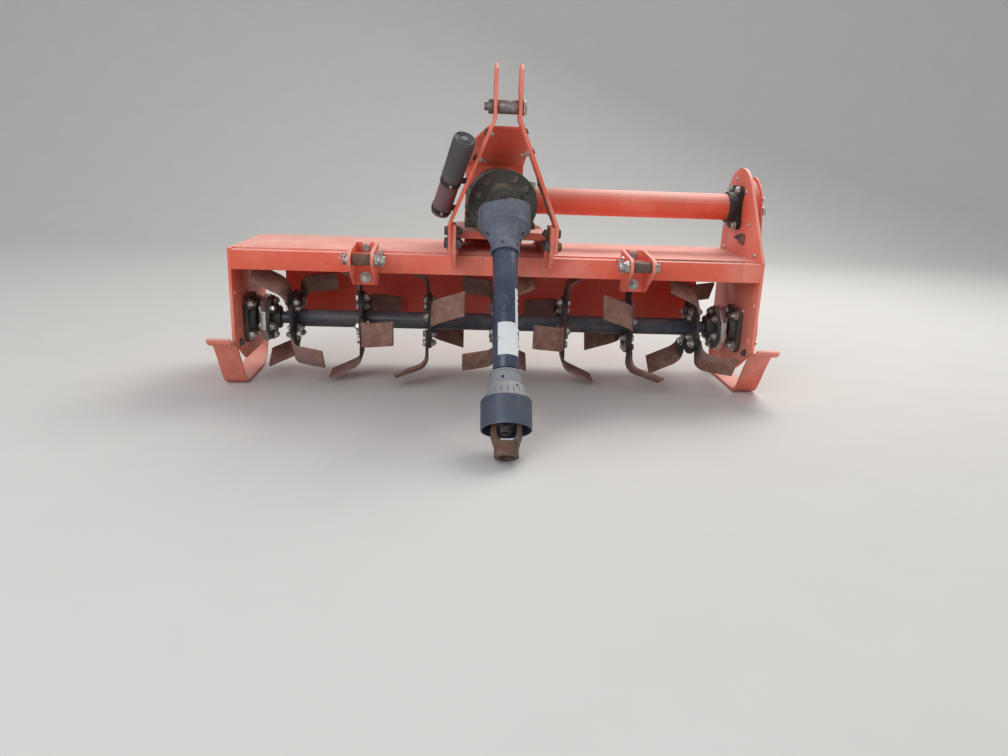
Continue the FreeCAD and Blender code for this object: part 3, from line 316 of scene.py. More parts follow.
def cast(name, base, light, dusty):
    """Painted cast iron with a grainy skin, dust on top and patches of grease."""
    m = Mat(name)
    colour = m.mix(m.patches(7, 5, 0.6, 0.35, 0.7), base, light)
    pits = m.noise(130, 4, 0.65)
    colour = m.mix(m.times(m.upward(), m.patches(16, 6, 0.55, 0.3, 0.7)), colour, dusty)
    grease = m.patches(11, 5, 0.7, 0.56, 0.72, 0.7)
    m.put("Base Color", m.cover(colour, grease, 0.7, tuple(c * 0.35 for c in base)))
    m.put("Roughness", m.calc("SUBTRACT", 0.78, m.times(grease, 0.35)))
    m.bump(m.plus(pits, m.times(m.noise(45, 3), 0.8)), 0.0016, 0.6)
    return m.mat


def plastic(name, base, chalk, worn, rough, scuff, dust=0.35, rim=0.0):
    """Sun-worn plastic with scuffs and dust. rim sets how much its edges are scratched pale."""
    m = Mat(name)
    colour = m.mix(m.patches(8, 5, 0.6, 0.3, 0.7), base, chalk)
    marks = m.patches(30, 6, 0.7, 0.56, 0.68, 1.2)
    colour = m.cover(colour, marks, scuff, worn)
    lying = m.times(m.upward(), m.patches(21, 5, 0.55, 0.35, 0.7))
    colour = m.cover(colour, lying, dust, (0.42, 0.38, 0.33))
    if rim:
        scratched = m.times(m.edges(0.0022, 0.03, 0.3), m.patches(40, 4, 0.6, 0.40, 0.60))
        colour = m.cover(colour, scratched, rim, (0.36, 0.37, 0.39))
    m.put("Base Color", colour)
    m.put("Roughness", m.plus(rough, m.times(marks, 0.25), clamp=True))
    m.bump(m.plus(m.noise(420, 2), marks), 0.0004, 0.4)
    return m.mat


def forged(name):
    """Rusty blades on dark flanges: brown scale, dried soil and a little grey where they rub."""
    m = Mat(name)
    colour = m.mix(m.patches(34, 6, 0.7, 0.3, 0.7), (0.18, 0.082, 0.062), (0.33, 0.185, 0.14))
    colour = m.mix(m.patches(9, 5, 0.6, 0.45, 0.7), colour, (0.26, 0.165, 0.16))
    soil = m.patches(15, 7, 0.72, 0.52, 0.66, 0.4)
    colour = m.cover(colour, soil, 0.7, (0.36, 0.26, 0.19))
    paint = m.mix(m.patches(26, 6, 0.7, 0.40, 0.68), (0.022, 0.021, 0.024), (0.085, 0.055, 0.045))
    bare = m.plus(m.radius((0, ROTOR.y, ROTOR.z)), m.times(m.noise(17, 6, 0.7), 0.05))
    colour = m.mix(m.span(bare, 0.118, 0.152), paint, colour)
    rub = m.times(m.edges(0.004, 0.03, 0.3), m.patches(60, 4, 0.55, 0.45, 0.6))
    m.put("Base Color", m.cover(colour, rub, 0.7, (0.34, 0.31, 0.29)))
    m.put("Metallic", m.times(rub, 0.6))
    m.put("Roughness", m.calc("SUBTRACT", 0.86, m.times(rub, 0.35)))
    m.bump(m.plus(m.noise(150, 6, 0.7), m.times(soil, 1.5)), 0.0014, 0.7)
    return m.mat


# Meshes

def shade_smooth(mesh):
    for face in mesh.polygons:
        face.use_smooth = True


def finish_mesh(name, bm):
    mesh = bpy.data.meshes.new(name)
    bm.to_mesh(mesh)
    bm.free()
    item = bpy.data.objects.new(name, mesh)
    bpy.context.scene.collection.objects.link(item)
    shade_smooth(mesh)
    return item


def at(place, axis, spin=0.0):
    """A place whose own Z points along an axis, turned round it by spin."""
    turn = axis.to_track_quat("Z", "Y").to_matrix().to_4x4()
    return Matrix.Translation(place) @ turn @ Matrix.Rotation(math.radians(spin), 4, "Z")


class Piece:
    """Gathers solids into one mesh that rides on a body."""

    def __init__(self, name, body, material, slot):
        self.name, self.body, self.material, self.slot = name, body, material, slot
        self.bm = bmesh.new()

    def vertex(self, where, radius, angle, height):
        """A new vertex at an angle round a place's own Z."""
        point = Vector((radius * math.cos(angle), radius * math.sin(angle), height))
        return self.bm.verts.new(where @ point)

    def skin(self, rings):
        """Faces from each closed ring of vertices to the next."""
        for a, b in zip(rings, rings[1:]):
            for i in range(len(a)):
                j = (i + 1) % len(a)
                self.bm.faces.new((a[i], a[j], b[j], b[i]))

    def caps(self, rings):
        self.bm.faces.new(rings[0][::-1])
        self.bm.faces.new(rings[-1])

    def lathe(self, profile, where, count):
        """Revolves (radius, height) points. A profile that starts and ends on the axis is closed."""
        rings = []
        for radius, height in profile:
            steps = 1 if radius == 0 else count
            rings.append([self.vertex(where, radius, 2 * math.pi * i / count, height) for i in range(steps)])
        for a, b in zip(rings, rings[1:]):
            for i in range(count):
                j = (i + 1) % count
                corners = [a[i % len(a)], a[j % len(a)], b[j % len(b)], b[i % len(b)]]
                corners = list(dict.fromkeys(corners))
                if len(corners) > 2:
                    self.bm.faces.new(corners)

    def prism(self, outline, low, high, where, chamfer=0.0):
        """Pads a flat outline of (x, y) points from low to high, with a small chamfer on both rims."""
        outline = [Vector(p) for p in outline]
        centre = sum(outline, Vector((0, 0))) / len(outline)
        levels = [(low, chamfer), (low + chamfer, 0), (high - chamfer, 0), (high, chamfer)]
        if not chamfer:
            levels = [(low, 0), (high, 0)]
        rings = []
        for height, inset in levels:
            points = [p - (p - centre).normalized() * inset for p in outline]
            rings.append([self.bm.verts.new(where @ Vector((p.x, p.y, height))) for p in points])
        self.skin(rings)
        self.caps(rings)

    def sweep(self, points, radius, sides):
        """A round rod along points; radius is a number or one for each point."""
        points = [Vector(p) for p in points]
        last = len(points) - 1
        rings = []
        side = None
        for i, p in enumerate(points):
            ahead = (points[min(i + 1, last)] - points[max(i - 1, 0)]).normalized()
            if side is None:
                side = ahead.orthogonal().normalized()
            side = (side - ahead * side.dot(ahead)).normalized()
            other = ahead.cross(side)
            r = radius[i] if isinstance(radius, (list, tuple)) else radius
            ring = []
            for k in range(sides):
                a = 2 * math.pi * k / sides
                ring.append(self.bm.verts.new(p + (side * math.cos(a) + other * math.sin(a)) * r))
            rings.append(ring)
        self.skin(rings)
        self.caps(rings)

    def sheet(self, top, back):
        """A sheet with a thickness between two grids of vertices."""
        rows, columns = len(top) - 1, len(top[0]) - 1
        faces = self.bm.faces
        for j in range(rows):
            for i in range(columns):
                faces.new((top[j][i], top[j][i + 1], top[j + 1][i + 1], top[j + 1][i]))
                faces.new((back[j][i], back[j + 1][i], back[j + 1][i + 1], back[j][i + 1]))
        for i in range(columns):
            faces.new((top[0][i], back[0][i], back[0][i + 1], top[0][i + 1]))
            faces.new((top[rows][i], top[rows][i + 1], back[rows][i + 1], back[rows][i]))
        for j in range(rows):
            faces.new((top[j][0], top[j + 1][0], back[j + 1][0], back[j][0]))
            faces.new((top[j][columns], back[j][columns], back[j + 1][columns], top[j + 1][columns]))

    def done(self, bevel=0.0):
        bmesh.ops.recalc_face_normals(self.bm, faces=self.bm.faces)
        item = finish_mesh(self.name, self.bm)
        item.data.materials.append(self.material)
        soften(item, bevel)
        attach(item, self.body)
        return item


def soften(item, width):
    """Rounds the sharp edges a little and shades the rest smooth."""
    if width:
        bevel = item.modifiers.new("soft_edges", "BEVEL")
        bevel.width = width
        bevel.segments = 2
        bevel.limit_method = "ANGLE"
        bevel.angle_limit = SHARP_ANGLE
        bevel.harden_normals = True
    else:
        item.data.set_sharp_from_angle(angle=SHARP_ANGLE)


def hexagon(radius):
    return [circle(60 * i, radius) for i in range(6)]


def bolt(piece, place, axis, size, length, spin, washer=True, nut=False):
    """A hex head with its chamfer on a washer; a nut shows the end of its thread."""
    where = at(place, axis, spin)
    base = 0.0
    if washer:
        r = size * 1.25
        piece.lathe([(0, 0), (r, 0), (r, size * 0.16), (r * 0.97, size * 0.2), (0, size * 0.2)], where, 20)
        base = size * 0.2
    head = size * (0.8 if nut else 0.64)
    shoulder = base + head * 0.8
    face = base + head
    piece.prism(hexagon(size * 0.96), base, shoulder, where)
    piece.lathe([(0, shoulder), (size * 0.9, shoulder), (size * 0.78, face), (size * 0.30, face),
                 (0, base + head * (1.0 if nut else 0.97))], where, 18)
    if nut or length:
        reach = face + (length or size * 0.45)
        turns = max(2, int(length / (size * 0.18)))
        profile = [(0, base)]
        for k in range(turns):
            low = face + (reach - face) * k / turns
            high = face + (reach - face) * (k + 1) / turns
            profile += [(size * 0.50, low), (size * 0.45, (low + high) / 2)]
        profile += [(size * 0.47, reach - 0.0004), (size * 0.40, reach), (0, reach)]
        piece.lathe(profile, where, 14)


def wave(x, y, z):
    """Smooth noise, the same at the same place every time."""
    return noise.noise(Vector((x, y, z)))


make_camera()
make_stage()

# The orange paint's tops turn near-white pink: partly dust, partly a painted highlight of light falling on
# upward faces.
TONES = dict(base=(0.78, 0.118, 0.062), faded=(0.88, 0.27, 0.195), grime=(0.36, 0.125, 0.08), dust=0.5,
             pale=(0.90, 0.56, 0.49), top_highlight=0.5, splash=0.3)
ORANGE = painted("orange_paint", **TONES)
BAR = painted("bar_paint", **TONES, drips=(-0.115, 0.115, (0.27, 0.145, 0.07)))
# The tailgate's paint is the orange made darker and redder: painted shade, with less dust and mud.
SHADED_ORANGE = painted("tailgate_shaded_paint", (0.74, 0.070, 0.036), (0.80, 0.13, 0.085), (0.30, 0.09, 0.06),
                 mud=0.25, dust=0.3)
BLACK = painted("black_paint", (0.014, 0.014, 0.016), (0.035, 0.035, 0.038), (0.10, 0.085, 0.07),
                gloss=0.42, dust=0.6, chips=0.4, bare=(0.10, 0.055, 0.04))
GEARBOX = cast("gearbox_paint", (0.058, 0.062, 0.052), (0.120, 0.129, 0.105), (0.22, 0.205, 0.165))
DARK = metal("dark_steel", (0.055, 0.05, 0.05), (0.15, 0.14, 0.135), (0.13, 0.06, 0.035), 0.35)
ZINC = metal("zinc_steel", (0.40, 0.39, 0.37), (0.60, 0.59, 0.56), (0.28, 0.16, 0.10), 0.08, 0.34)
RUST = metal("rusty_steel", (0.13, 0.09, 0.075), (0.22, 0.16, 0.135), (0.20, 0.095, 0.055), 0.75, 0.55, 0.5)
WEATHERED = metal("weathered_steel", (0.10, 0.088, 0.082), (0.21, 0.185, 0.17), (0.20, 0.11, 0.085), 0.5,
                  0.5, 0.6)
WORN = metal("worn_steel", (0.20, 0.19, 0.185), (0.36, 0.35, 0.34), (0.23, 0.13, 0.10), 0.35, 0.38)
BLADE = forged("tine_steel")
# The tube's dark slate plastic is tinted bluer by a painted reflection of the sky.
TUBE = plastic("guard_tube", (0.027, 0.040, 0.070), (0.046, 0.066, 0.110), (0.10, 0.125, 0.17), 0.25, 0.25,
               0.10)
GUARD = plastic("guard_plastic", (0.082, 0.098, 0.132), (0.14, 0.162, 0.205), (0.26, 0.27, 0.295), 0.5, 0.45,
                0.2, 0.8)
CUP = plastic("cup_plastic", (0.038, 0.052, 0.086), (0.064, 0.082, 0.124), (0.12, 0.088, 0.085), 0.4, 0.6,
              0.12, 0.5)
CANISTER = plastic("canister_plastic", (0.12, 0.078, 0.088), (0.17, 0.112, 0.12), (0.22, 0.16, 0.15), 0.5,
                   0.4)
COLLAR = plastic("collar_plastic", (0.20, 0.21, 0.235), (0.29, 0.30, 0.33), (0.38, 0.375, 0.37), 0.6, 0.5)
LABEL = plastic("label_paper", (0.70, 0.71, 0.72), (0.80, 0.80, 0.80), (0.12, 0.13, 0.15), 0.7, 0.55, 0.1)
SOIL = painted("dried_soil", (0.16, 0.09, 0.065), (0.21, 0.13, 0.09), (0.12, 0.08, 0.06), gloss=0.8,
               chips=0.0)
CAP = plastic("cap_plastic", (0.062, 0.057, 0.067), (0.10, 0.092, 0.104), (0.17, 0.155, 0.16), 0.5, 0.4)
# The shaft's dark blue-grey paint is lifted lighter and bluer as a painted sky highlight.
SHAFT = painted("shaft_paint", (0.026, 0.036, 0.056), (0.046, 0.061, 0.090), (0.085, 0.078, 0.072),
                gloss=0.28, mud=0.25, dust=0.25, chips=0.25, bare=(0.10, 0.06, 0.045))

# The finish of each slot, and of the few nodes that have their own
DRESS = {
    "orange_paint": ORANGE, "black_paint": BLACK, "gearbox_iron": GEARBOX, "dark_steel": DARK,
    "zinc_steel": ZINC, "rusty_steel": RUST, "tine_steel": BLADE, "guard_tube": TUBE,
    "guard_plastic": GUARD, "canister_plastic": CANISTER, "cap_plastic": CAP,
}
OWN = {"rotor_shaft": SHAFT, "front_bar": BAR, "tailgate": SHADED_ORANGE, "top_bushing": WORN, "top_pin": WEATHERED}


def dress_nodes():
    """Every carried-over node gets its finish and soft edges."""
    for part in frame["record"]["subparts"]:
        item = frame["nodes"][part["node"]]
        item.data.materials.clear()
        item.data.materials.append(OWN.get(part["node"], DRESS[part["material_slot"]]))
        shade_smooth(item.data)
        merge = item.modifiers.new("weld", "WELD")
        merge.merge_threshold = 0.00002
        soften(item, 0.0011)


dress_nodes()


# Fasteners

def along(distance):
    """A place on the driveline whose own Z runs down the shaft and whose own Y is its upper side."""
    upper = Vector((0, ALONG.z, -ALONG.y))
    side = upper.cross(ALONG)
    turn = Matrix((side, upper, ALONG)).transposed().to_4x4()
    return Matrix.Translation(JOINT + ALONG * distance) @ turn


def mast_point(side, back, up, outside):
    """A place on a mast plate's sloped face, and the direction that points away from the plate there."""
    share = (TOP + up - MAST_FOOT.z) / (MAST_HEAD.z - MAST_FOOT.z)
    point = MAST_FOOT.lerp(MAST_HEAD, share)
    normal = Vector((MAST_HEAD.z - MAST_FOOT.z, 0, MAST_FOOT.x - MAST_HEAD.x)).normalized()
    if outside:
        point = point + normal * MAST_THICKNESS
    else:
        normal = -normal
    return Vector((side * point.x, FRONT + back, point.z)), Vector((side * normal.x, 0, normal.z))


# For each side, how far back and up the mast's bolts stand, the size of the nut and the length of its
# thread; the upper bolt on the right has no nut
MAST_BOLTS = {
    -1: ((-0.040, 0.304, 0.0068, 0.0), (-0.026, 0.243, 0.0078, 0.012)),
    1: ((-0.044, 0.308, None, 0.0), (-0.030, 0.262, 0.0078, 0.012)),
}


def frame_bolts():
    """Bolts on the bar, the mast, the skids and the chain cover, and the rivets inside the right plate."""
    zinc = Piece("frame_bolts", "root", ZINC, "zinc_steel")
    dark = Piece("mast_foot_bolts", "root", WEATHERED, "dark_steel")
    for side in SIDES:
        bolt(zinc, spot(side * 0.349, -0.008, -0.060), -Y, 0.0115, 0.008, 12, nut=True)
        bolt(zinc, spot(side * 0.350, 0.020, 0.011), -Y, 0.0090, 0.0, 40)
        for y, z, nut_size, thread in MAST_BOLTS[side]:
            if nut_size:
                place, axis = mast_point(side, y, z, False)
                bolt(zinc, place, axis, nut_size, thread, 20 * z, nut=True)
            place, axis = mast_point(side, y, z, True)
            bolt(dark, place, axis, 0.0085, 0.0, 20 * z)
        bolt(dark, spot(side * SIDE_IN, 0.047, -0.2535), -X * side, 0.0085, 0.003, 15, nut=True)
        bolt(dark, spot(side * SIDE_OUT, 0.047, -0.2535), X * side, 0.0085, 0.0, 40)
        for y, z in ((-0.052, 0.036), (0.006, 0.036), (-0.022, 0.066)):
            bolt(dark, spot(side * MAST_OUT, y, z), X * side, 0.0125, 0.0, 200 * z)
            bolt(dark, spot(side * LUG_IN, y, z), -X * side, 0.0125, 0.004, 90 * z, nut=True)
    for y, z in ((0.166, 0.127), (0.299, 0.126)):
        bolt(zinc, spot(COVER_FACE, y, z), X, 0.0120, 0.0, 400 * y)
    for back, up, radius, turns in ((0.236, 0.133, 0.080, (-20, 25, 70, 115, 160, 200)),
                                    (0.150, -0.204, 0.070, (-20, 205, 250, 295))):
        for turn in turns:
            y, z = circle(turn, radius)
            bolt(zinc, spot(COVER_RIM, back + y, up + z), X, 0.0062, 0.0, turn)
    for y, z, size in ((0.262, 0.212, 0.004), (0.178, 0.178, 0.0045), (0.282, 0.086, 0.004),
                       (0.132, 0.092, 0.0055), (0.312, 0.014, 0.005), (0.06, 0.016, 0.005)):
        zinc.lathe([(0, -0.001), (size * 1.3, -0.001), (size * 1.3, 0.001), (size, 0.0035),
                    (size * 0.5, 0.0045), (0, 0.0047)], at(spot(SIDE_IN, y, z), -X), 16)
    zinc.done()
    dark.done()


def bearing_bolts():
    """Four bolts through each rotor bearing, and the four of the cross tube's ear flange."""
    bolts = Piece("bearing_bolts", "root", ZINC, "zinc_steel")
    for side in SIDES:
        for dy in SIDES:
            for dz in SIDES:
                place = Vector((side * 0.680, ROTOR.y + dy * 0.043, ROTOR.z + dz * 0.043))
                bolt(bolts, place, -X * side, 0.0125, 0.006, 17 * dy + 31 * dz, nut=True)
                if side < 0:
                    bolt(bolts, (-SIDE_OUT, place.y, place.z), -X, 0.0115, 0.0, 11 * dz + 5 * dy)
    for dy in (1, -1):
        for dz in (1, -1):
            place = GEAR + Vector((0.678, dy * 0.03036, dz * 0.0487878))
            bolt(bolts, place, -X, 0.0100, 0.0, 43 * dz + 13.2 * dy)
    bolts.done()


def split_pin(piece, side):
    """A washer and a split pin at one end of the tailgate's hinge rod."""
    end = spot(side * 0.654, 0.366, -0.010)
    piece.lathe([(0.0061, -0.0022), (0.0095, -0.0022), (0.0098, -0.0018), (0.0098, 0), (0.0094, 0.0004),
                 (0.0061, 0.0004)], at(end - X * side * 0.0035, X * side), 24)
    pin = end - X * side * 0.0012
    loop = []
    for k in range(19):
        down, across = circle(30 + 300 * k / 18, 0.0032)
        loop.append(pin + Vector((0, across, 0.0098 - down)))
    piece.sweep(loop, 0.0010, 6)
    for bend in SIDES:
        leg_end = pin + Vector((0, bend * 0.0035, -0.0125))
        piece.sweep([pin + Z * 0.0075, pin - Z * 0.0080, leg_end], 0.0011, 6)


def rear_fittings():
    """Bolts at the rear panel's foot, split pins at the hinge's ends, and plugs on the chain cover."""
    heads = Piece("rear_bolts", "root", ZINC, "zinc_steel")
    panel_back = 0.324
    for x in (-0.070, -0.024, 0.022, 0.052):
        bolt(heads, spot(x, panel_back, 0.030), Y, 0.0080, 0.0, 700 * x)
    for x in (-0.078, 0.055):
        for z in (0.090, 0.160):
            bolt(heads, spot(x, panel_back, z), Y, 0.0065, 0.0, 500 * (x + z))
    for side in SIDES:
        split_pin(heads, side)
    for y, z, size in ((0.150, -0.150, 0.0095), (0.206, -0.060, 0.0085), (0.215, 0.060, 0.0110)):
        where = at(spot(COVER_FACE, y, z), X, 15)
        heads.lathe([(0, -0.001), (size * 1.35, -0.001), (size * 1.35, 0.0022), (size * 1.25, 0.003),
                     (0, 0.003)], where, 24)
        heads.prism(hexagon(size), 0.0025, 0.009, where, 0.0008)
    heads.done()


def gearbox_details():
    """Bolts round the gearbox's front, sides and feet, two plugs, and the seal of its input shaft."""
    heads = Piece("gearbox_bolts", "root", WEATHERED, "rusty_steel")
    for k, turn in enumerate((35, 66, 129, 161, -35, -66, -129, -161)):
        x, z = circle(turn, 0.0685)
        bolt(heads, (x, FRONT + 0.004, GEAR.z + z), -Y, 0.0088, 0.0, 33 * k)
    for x, axis, radius in ((0.098, X, 0.0445), (-0.092, -X, 0.042)):
        for k in range(6):
            bolt(heads, GEAR + Vector((x, *circle(30 + 60 * k, radius))), axis, 0.0050, 0.0, 25 * k)
    for x in (-0.088, 0.088):
        for y in (0.142, 0.285):
            bolt(heads, spot(x, y, 0.076), Z, 0.0065, 0.0, 300 * y)
    heads.done()
    trim = Piece("gearbox_fittings", "root", GEARBOX, "gearbox_iron")
    for x, z in ((-0.050, 0.150), (0.045, 0.112)):
        place = spot(x, 0.300, z)
        trim.lathe([(0, -0.003), (0.013, -0.003), (0.013, 0.003), (0.011, 0.005), (0, 0.005)],
                   at(place, Y), 24)
        trim.prism(hexagon(0.0085), 0.004, 0.010, at(place, Y, 20), 0.0006)
    seal = [(0.0180, 0.004), (0.0480, 0.004), (0.0480, 0.0135), (0.0455, 0.0155), (0.0375, 0.0155),
            (0.0355, 0.0135), (0.0270, 0.0130), (0.0255, 0.0145), (0.0215, 0.0145), (0.0195, 0.0125),
            (0.0180, 0.0125), (0.0180, 0.004)]
    trim.lathe(seal, at((0, FRONT + 0.004, GEAR.z), -Y), 48)
    trim.done(0.0004)


def linch_pin(piece, centre, axis, spin, size=1.0):
    """A short pin across a shaft's end, with a sprung ring folded over it. size sets its length."""
    where = at(centre, axis, spin)
    profile = [(0, -0.020), (0.0016, -0.020), (0.0030, -0.018), (0.0030, 0.017), (0.0042, 0.018),
               (0.0042, 0.024), (0.0030, 0.026), (0, 0.026)]
    piece.lathe([(radius, height * size) for radius, height in profile], where, 14)
    ring = []
    for k in range(33):
        a = math.radians(-172 + 344 * k / 32)
        r = 0.0165 * size * (1 - 0.10 * math.cos(2 * a))
        height = 0.021 * size - r - r * math.cos(a)
        ring.append(where @ Vector((r * math.sin(a), 0.004 - 0.006 * math.cos(a), height)))
    piece.sweep(ring, 0.0014, 8)


def hitch_details():
    """Nuts, washers and linch pins on the lower hitch pins, and the nut of the top pin."""
    pins = Piece("hitch_linch_pins", "root", ZINC, "zinc_steel")
    back, up = -0.087, -0.005
    for side in SIDES:
        inner = spot(side * CLEVIS_IN, back, up)
        pins.prism(hexagon(0.0165), 0, 0.009, at(inner, -X * side, 24), 0.001)
        pins.lathe([(0.0108, 0.008), (0.0135, 0.008), (0.0135, 0.013), (0.0125, 0.014), (0.0108, 0.014)],
                   at(inner, -X * side), 28)
        linch_pin(pins, spot(side * 0.299, back, up + 0.001), Vector((0, -0.35, 1)), 90 + 25 * side)
        pins.lathe([(0.0105, 0), (0.0180, 0), (0.0180, 0.0022), (0.0172, 0.003), (0.0105, 0.003)],
                   at(spot(side * CLEVIS_OUT, back, up), X * side), 32)
        linch_pin(pins, spot(side * 0.3905, back, up), Vector((0, -0.8, 0.6)), 90, 0.8)
    pins.done()
    top = Piece("top_pin_nut", "root", ZINC, "zinc_steel")
    where = at(spot(0.034, -0.057, 0.366), X, 10)
    top.lathe([(0.0098, 0.0035), (0.0195, 0.0035), (0.0195, 0.0062), (0.0188, 0.007), (0.0098, 0.007)],
              where, 32)
    top.prism(hexagon(0.0165), 0.0065, 0.0120, where, 0.001)
    top.done()


# Rotor

ROTOR_HALF = 0.632
FLANGE_COUNT = 7
FLANGE_PITCH = 2 * (ROTOR_HALF - 0.070) / (FLANGE_COUNT - 1)
FIRST_TURN = 127
TURN_STEP = 30


def rotor_bolts():
    """Two bolts through each blade, with their nuts on the flange."""
    piece = Piece("blade_bolts", "rotor", ZINC, "zinc_steel")
    for k in range(FLANGE_COUNT):
        flange = ROTOR + X * (k - 3) * FLANGE_PITCH
        for i in range(4):
            side = 1 if i % 2 == 0 else -1
            a = math.radians(FIRST_TURN - TURN_STEP * k + 90 * i)
            out = Vector((0, -math.sin(a), math.cos(a)))
            for radius in (0.038, 0.063):
                place = flange + out * radius
                spin = 37 * k + 23 * i + 900 * radius
                bolt(piece, place + X * side * 0.011, X * side, 0.0108, 0.0, spin)
                bolt(piece, place - X * side * 0.004, -X * side, 0.0108, 0.004, spin + 20, nut=True)
    piece.done()


def rotor_ends():
    """The hubs at the rotor's end flanges, with their bolts."""
    hubs = Piece("rotor_end_hubs", "rotor", BLACK, "black_paint")
    heads = Piece("rotor_end_bolts", "rotor", ZINC, "zinc_steel")
    for side in SIDES:
        hubs.lathe([(0.0172, 0), (0.060, 0), (0.0615, 0.0015), (0.0615, 0.0085), (0.060, 0.010),
                    (0.034, 0.010), (0.030, 0.013), (0.0285, 0.030), (0.0172, 0.032), (0.0172, 0)],
                   at(ROTOR + X * side * ROTOR_HALF, -X * side), 40)
        for k in range(6):
            place = ROTOR + Vector((side * 0.622, *circle(60 * k + 20, 0.047)))
            bolt(heads, place, -X * side, 0.0105, 0.003, 33 * k, nut=True)
            bolt(heads, place + X * side * 0.026, X * side, 0.0100, 0.0, 20 * k, washer=False)
    hubs.done(0.0006)
    heads.done()


# Driveline guards

def in_metres(profile):
    return [(radius / 1000, height / 1000) for radius, height in profile]


def on_shaft(degrees, radius, height, lean=0.0):
    """A place on the driveline's guards whose own Z points outward, leaning along the shaft."""
    base = along(0)
    x, y = circle(degrees, 1)
    place = base @ Vector((radius * x, radius * y, height))
    return at(place, (base.to_3x3() @ Vector((x, y, lean))).normalized())


def radius_at(profile, height):
    """The radius of a profile at a height, in a straight line from each point to the next."""
    for (r0, h0), (r1, h1) in zip(profile, profile[1:]):
        if height <= h1:
            return r0 + (r1 - r0) * max(0.0, height - h0) / max(h1 - h0, 1e-6)
    return profile[-1][0]


def shell(piece, outer, wall, count, edge=None, grooves=None):
    """A thin turned shell on the driveline. outer lists (radius, height); edge moves the first rim by
    angle, and grooves gives the radius to add at an angle and height."""
    where = along(0)
    heights = [height for _, height in outer]
    rings = []
    for layer, order in enumerate((heights, heights[::-1])):
        for height in order:
            ring = []
            for i in range(count):
                a = 2 * math.pi * i / count
                h = height
                if edge:
                    h = max(height, outer[0][1] + edge(a))
                r = radius_at(outer, h)
                if grooves and layer == 0:
                    r += grooves(a, h)
                ring.append(piece.vertex(where, r - wall * layer, a, h))
            rings.append(ring)
    rings.append(rings[0])
    piece.skin(rings)


def ripple(seed, a, size):
    return wave(math.cos(a) * size, math.sin(a) * size, seed)


def torn_edge(a):
    """How far the upper guard's rim is broken away: whole right and below, ragged on the upper left."""
    turn = math.degrees(a) % 360
    gap = min(abs(turn - 134), 360 - abs(turn - 134))
    missing = max(0.0, min(1.0, (50 - gap) / 8))
    ragged = 0.20 + 0.75 * abs(ripple(3.1, a, 4.0)) + 0.40 * abs(ripple(8.7, a, 14.0))
    worn = 0.017 * max(0.0, math.sin(a) - 0.1)
    return worn + missing * 0.013 * ragged + 0.0006 * ripple(1.3, a, 6.0)


def upper_grooves(a, h):
    """28 grooves along the cone."""
    start, end = 0.068, 0.097
    if not start < h < end:
        return 0.0
    share = min(1.0, (h - start) / 0.006, (end - h) / 0.006)
    return -0.0011 * share * (0.5 + 0.5 * math.cos(a * 28)) ** 3


def lower_grooves(a, h):
    """20 grooves between the ribs of the collar."""
    start, end = 0.4790, 0.5015
    if not start < h < end:
        return 0.0
    share = min(1.0, (h - start) / 0.012, (end - h) / 0.002)
    return -0.0036 * share * (0.5 + 0.5 * math.cos(a * 20)) ** 10


def upper_guard():
    """The guard of the upper joint, the sliver that hangs off its rim, and its four screws and two plugs."""
    piece = Piece("upper_bell_guard", "driveline", GUARD, "guard_plastic")
    outer = in_metres([
        (64.4, 2), (64.6, 5), (63.8, 9), (63, 22), (62, 38), (61, 52), (60.4, 60), (61.8, 61), (62, 63.6),
        (60.8, 64.8), (57.6, 66.2), (56.4, 68.5), (52.4, 73.5), (47.8, 80), (43.8, 86.5), (40.9, 92),
        (39.2, 97), (39, 99.4), (37.4, 100.2), (36.4, 101.6), (35.6, 104), (34.9, 107), (34.7, 113),
        (34.7, 121), (35, 126), (35, 130.8), (34.4, 131.8)])
    shell(piece, outer, 0.0028, 168, torn_edge, upper_grooves)
    item = piece.done()
    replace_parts(item, "upper_bell")
    sliver = Piece("upper_guard_sliver", "driveline", GUARD, "guard_plastic")
    path = []
    for turn, r, h in ((152, 0.0620, 0.024), (160, 0.0650, 0.030), (165, 0.0662, 0.042), (167, 0.0660, 0.056),
                       (165, 0.0652, 0.069), (160, 0.0638, 0.079), (154, 0.0640, 0.087)):
        path.append(along(0) @ Vector((*circle(turn, r), h)))
    sliver.sweep(path, [0.0014, 0.0013, 0.0012, 0.0011, 0.0010, 0.0009, 0.0006], 6)
    sliver.done()
    screws = Piece("upper_collar_screws", "driveline", DARK, "dark_steel")
    for turn in (39, 105, 219, 285):
        screws.lathe([(0, -0.003), (0.0040, -0.003), (0.0040, 0.0004), (0.0030, 0.0012), (0.0016, 0.0012),
                      (0.0014, 0.0002), (0, 0.0002)], on_shaft(turn, 0.0346, 0.119), 14)
    for turn in (163, 23):
        screws.lathe([(0, -0.004), (0.0042, -0.004), (0.0042, 0.0010), (0.0034, 0.0016), (0, 0.0014)],
                     on_shaft(turn, 0.0446, 0.0850, 0.6), 14)
    screws.done()


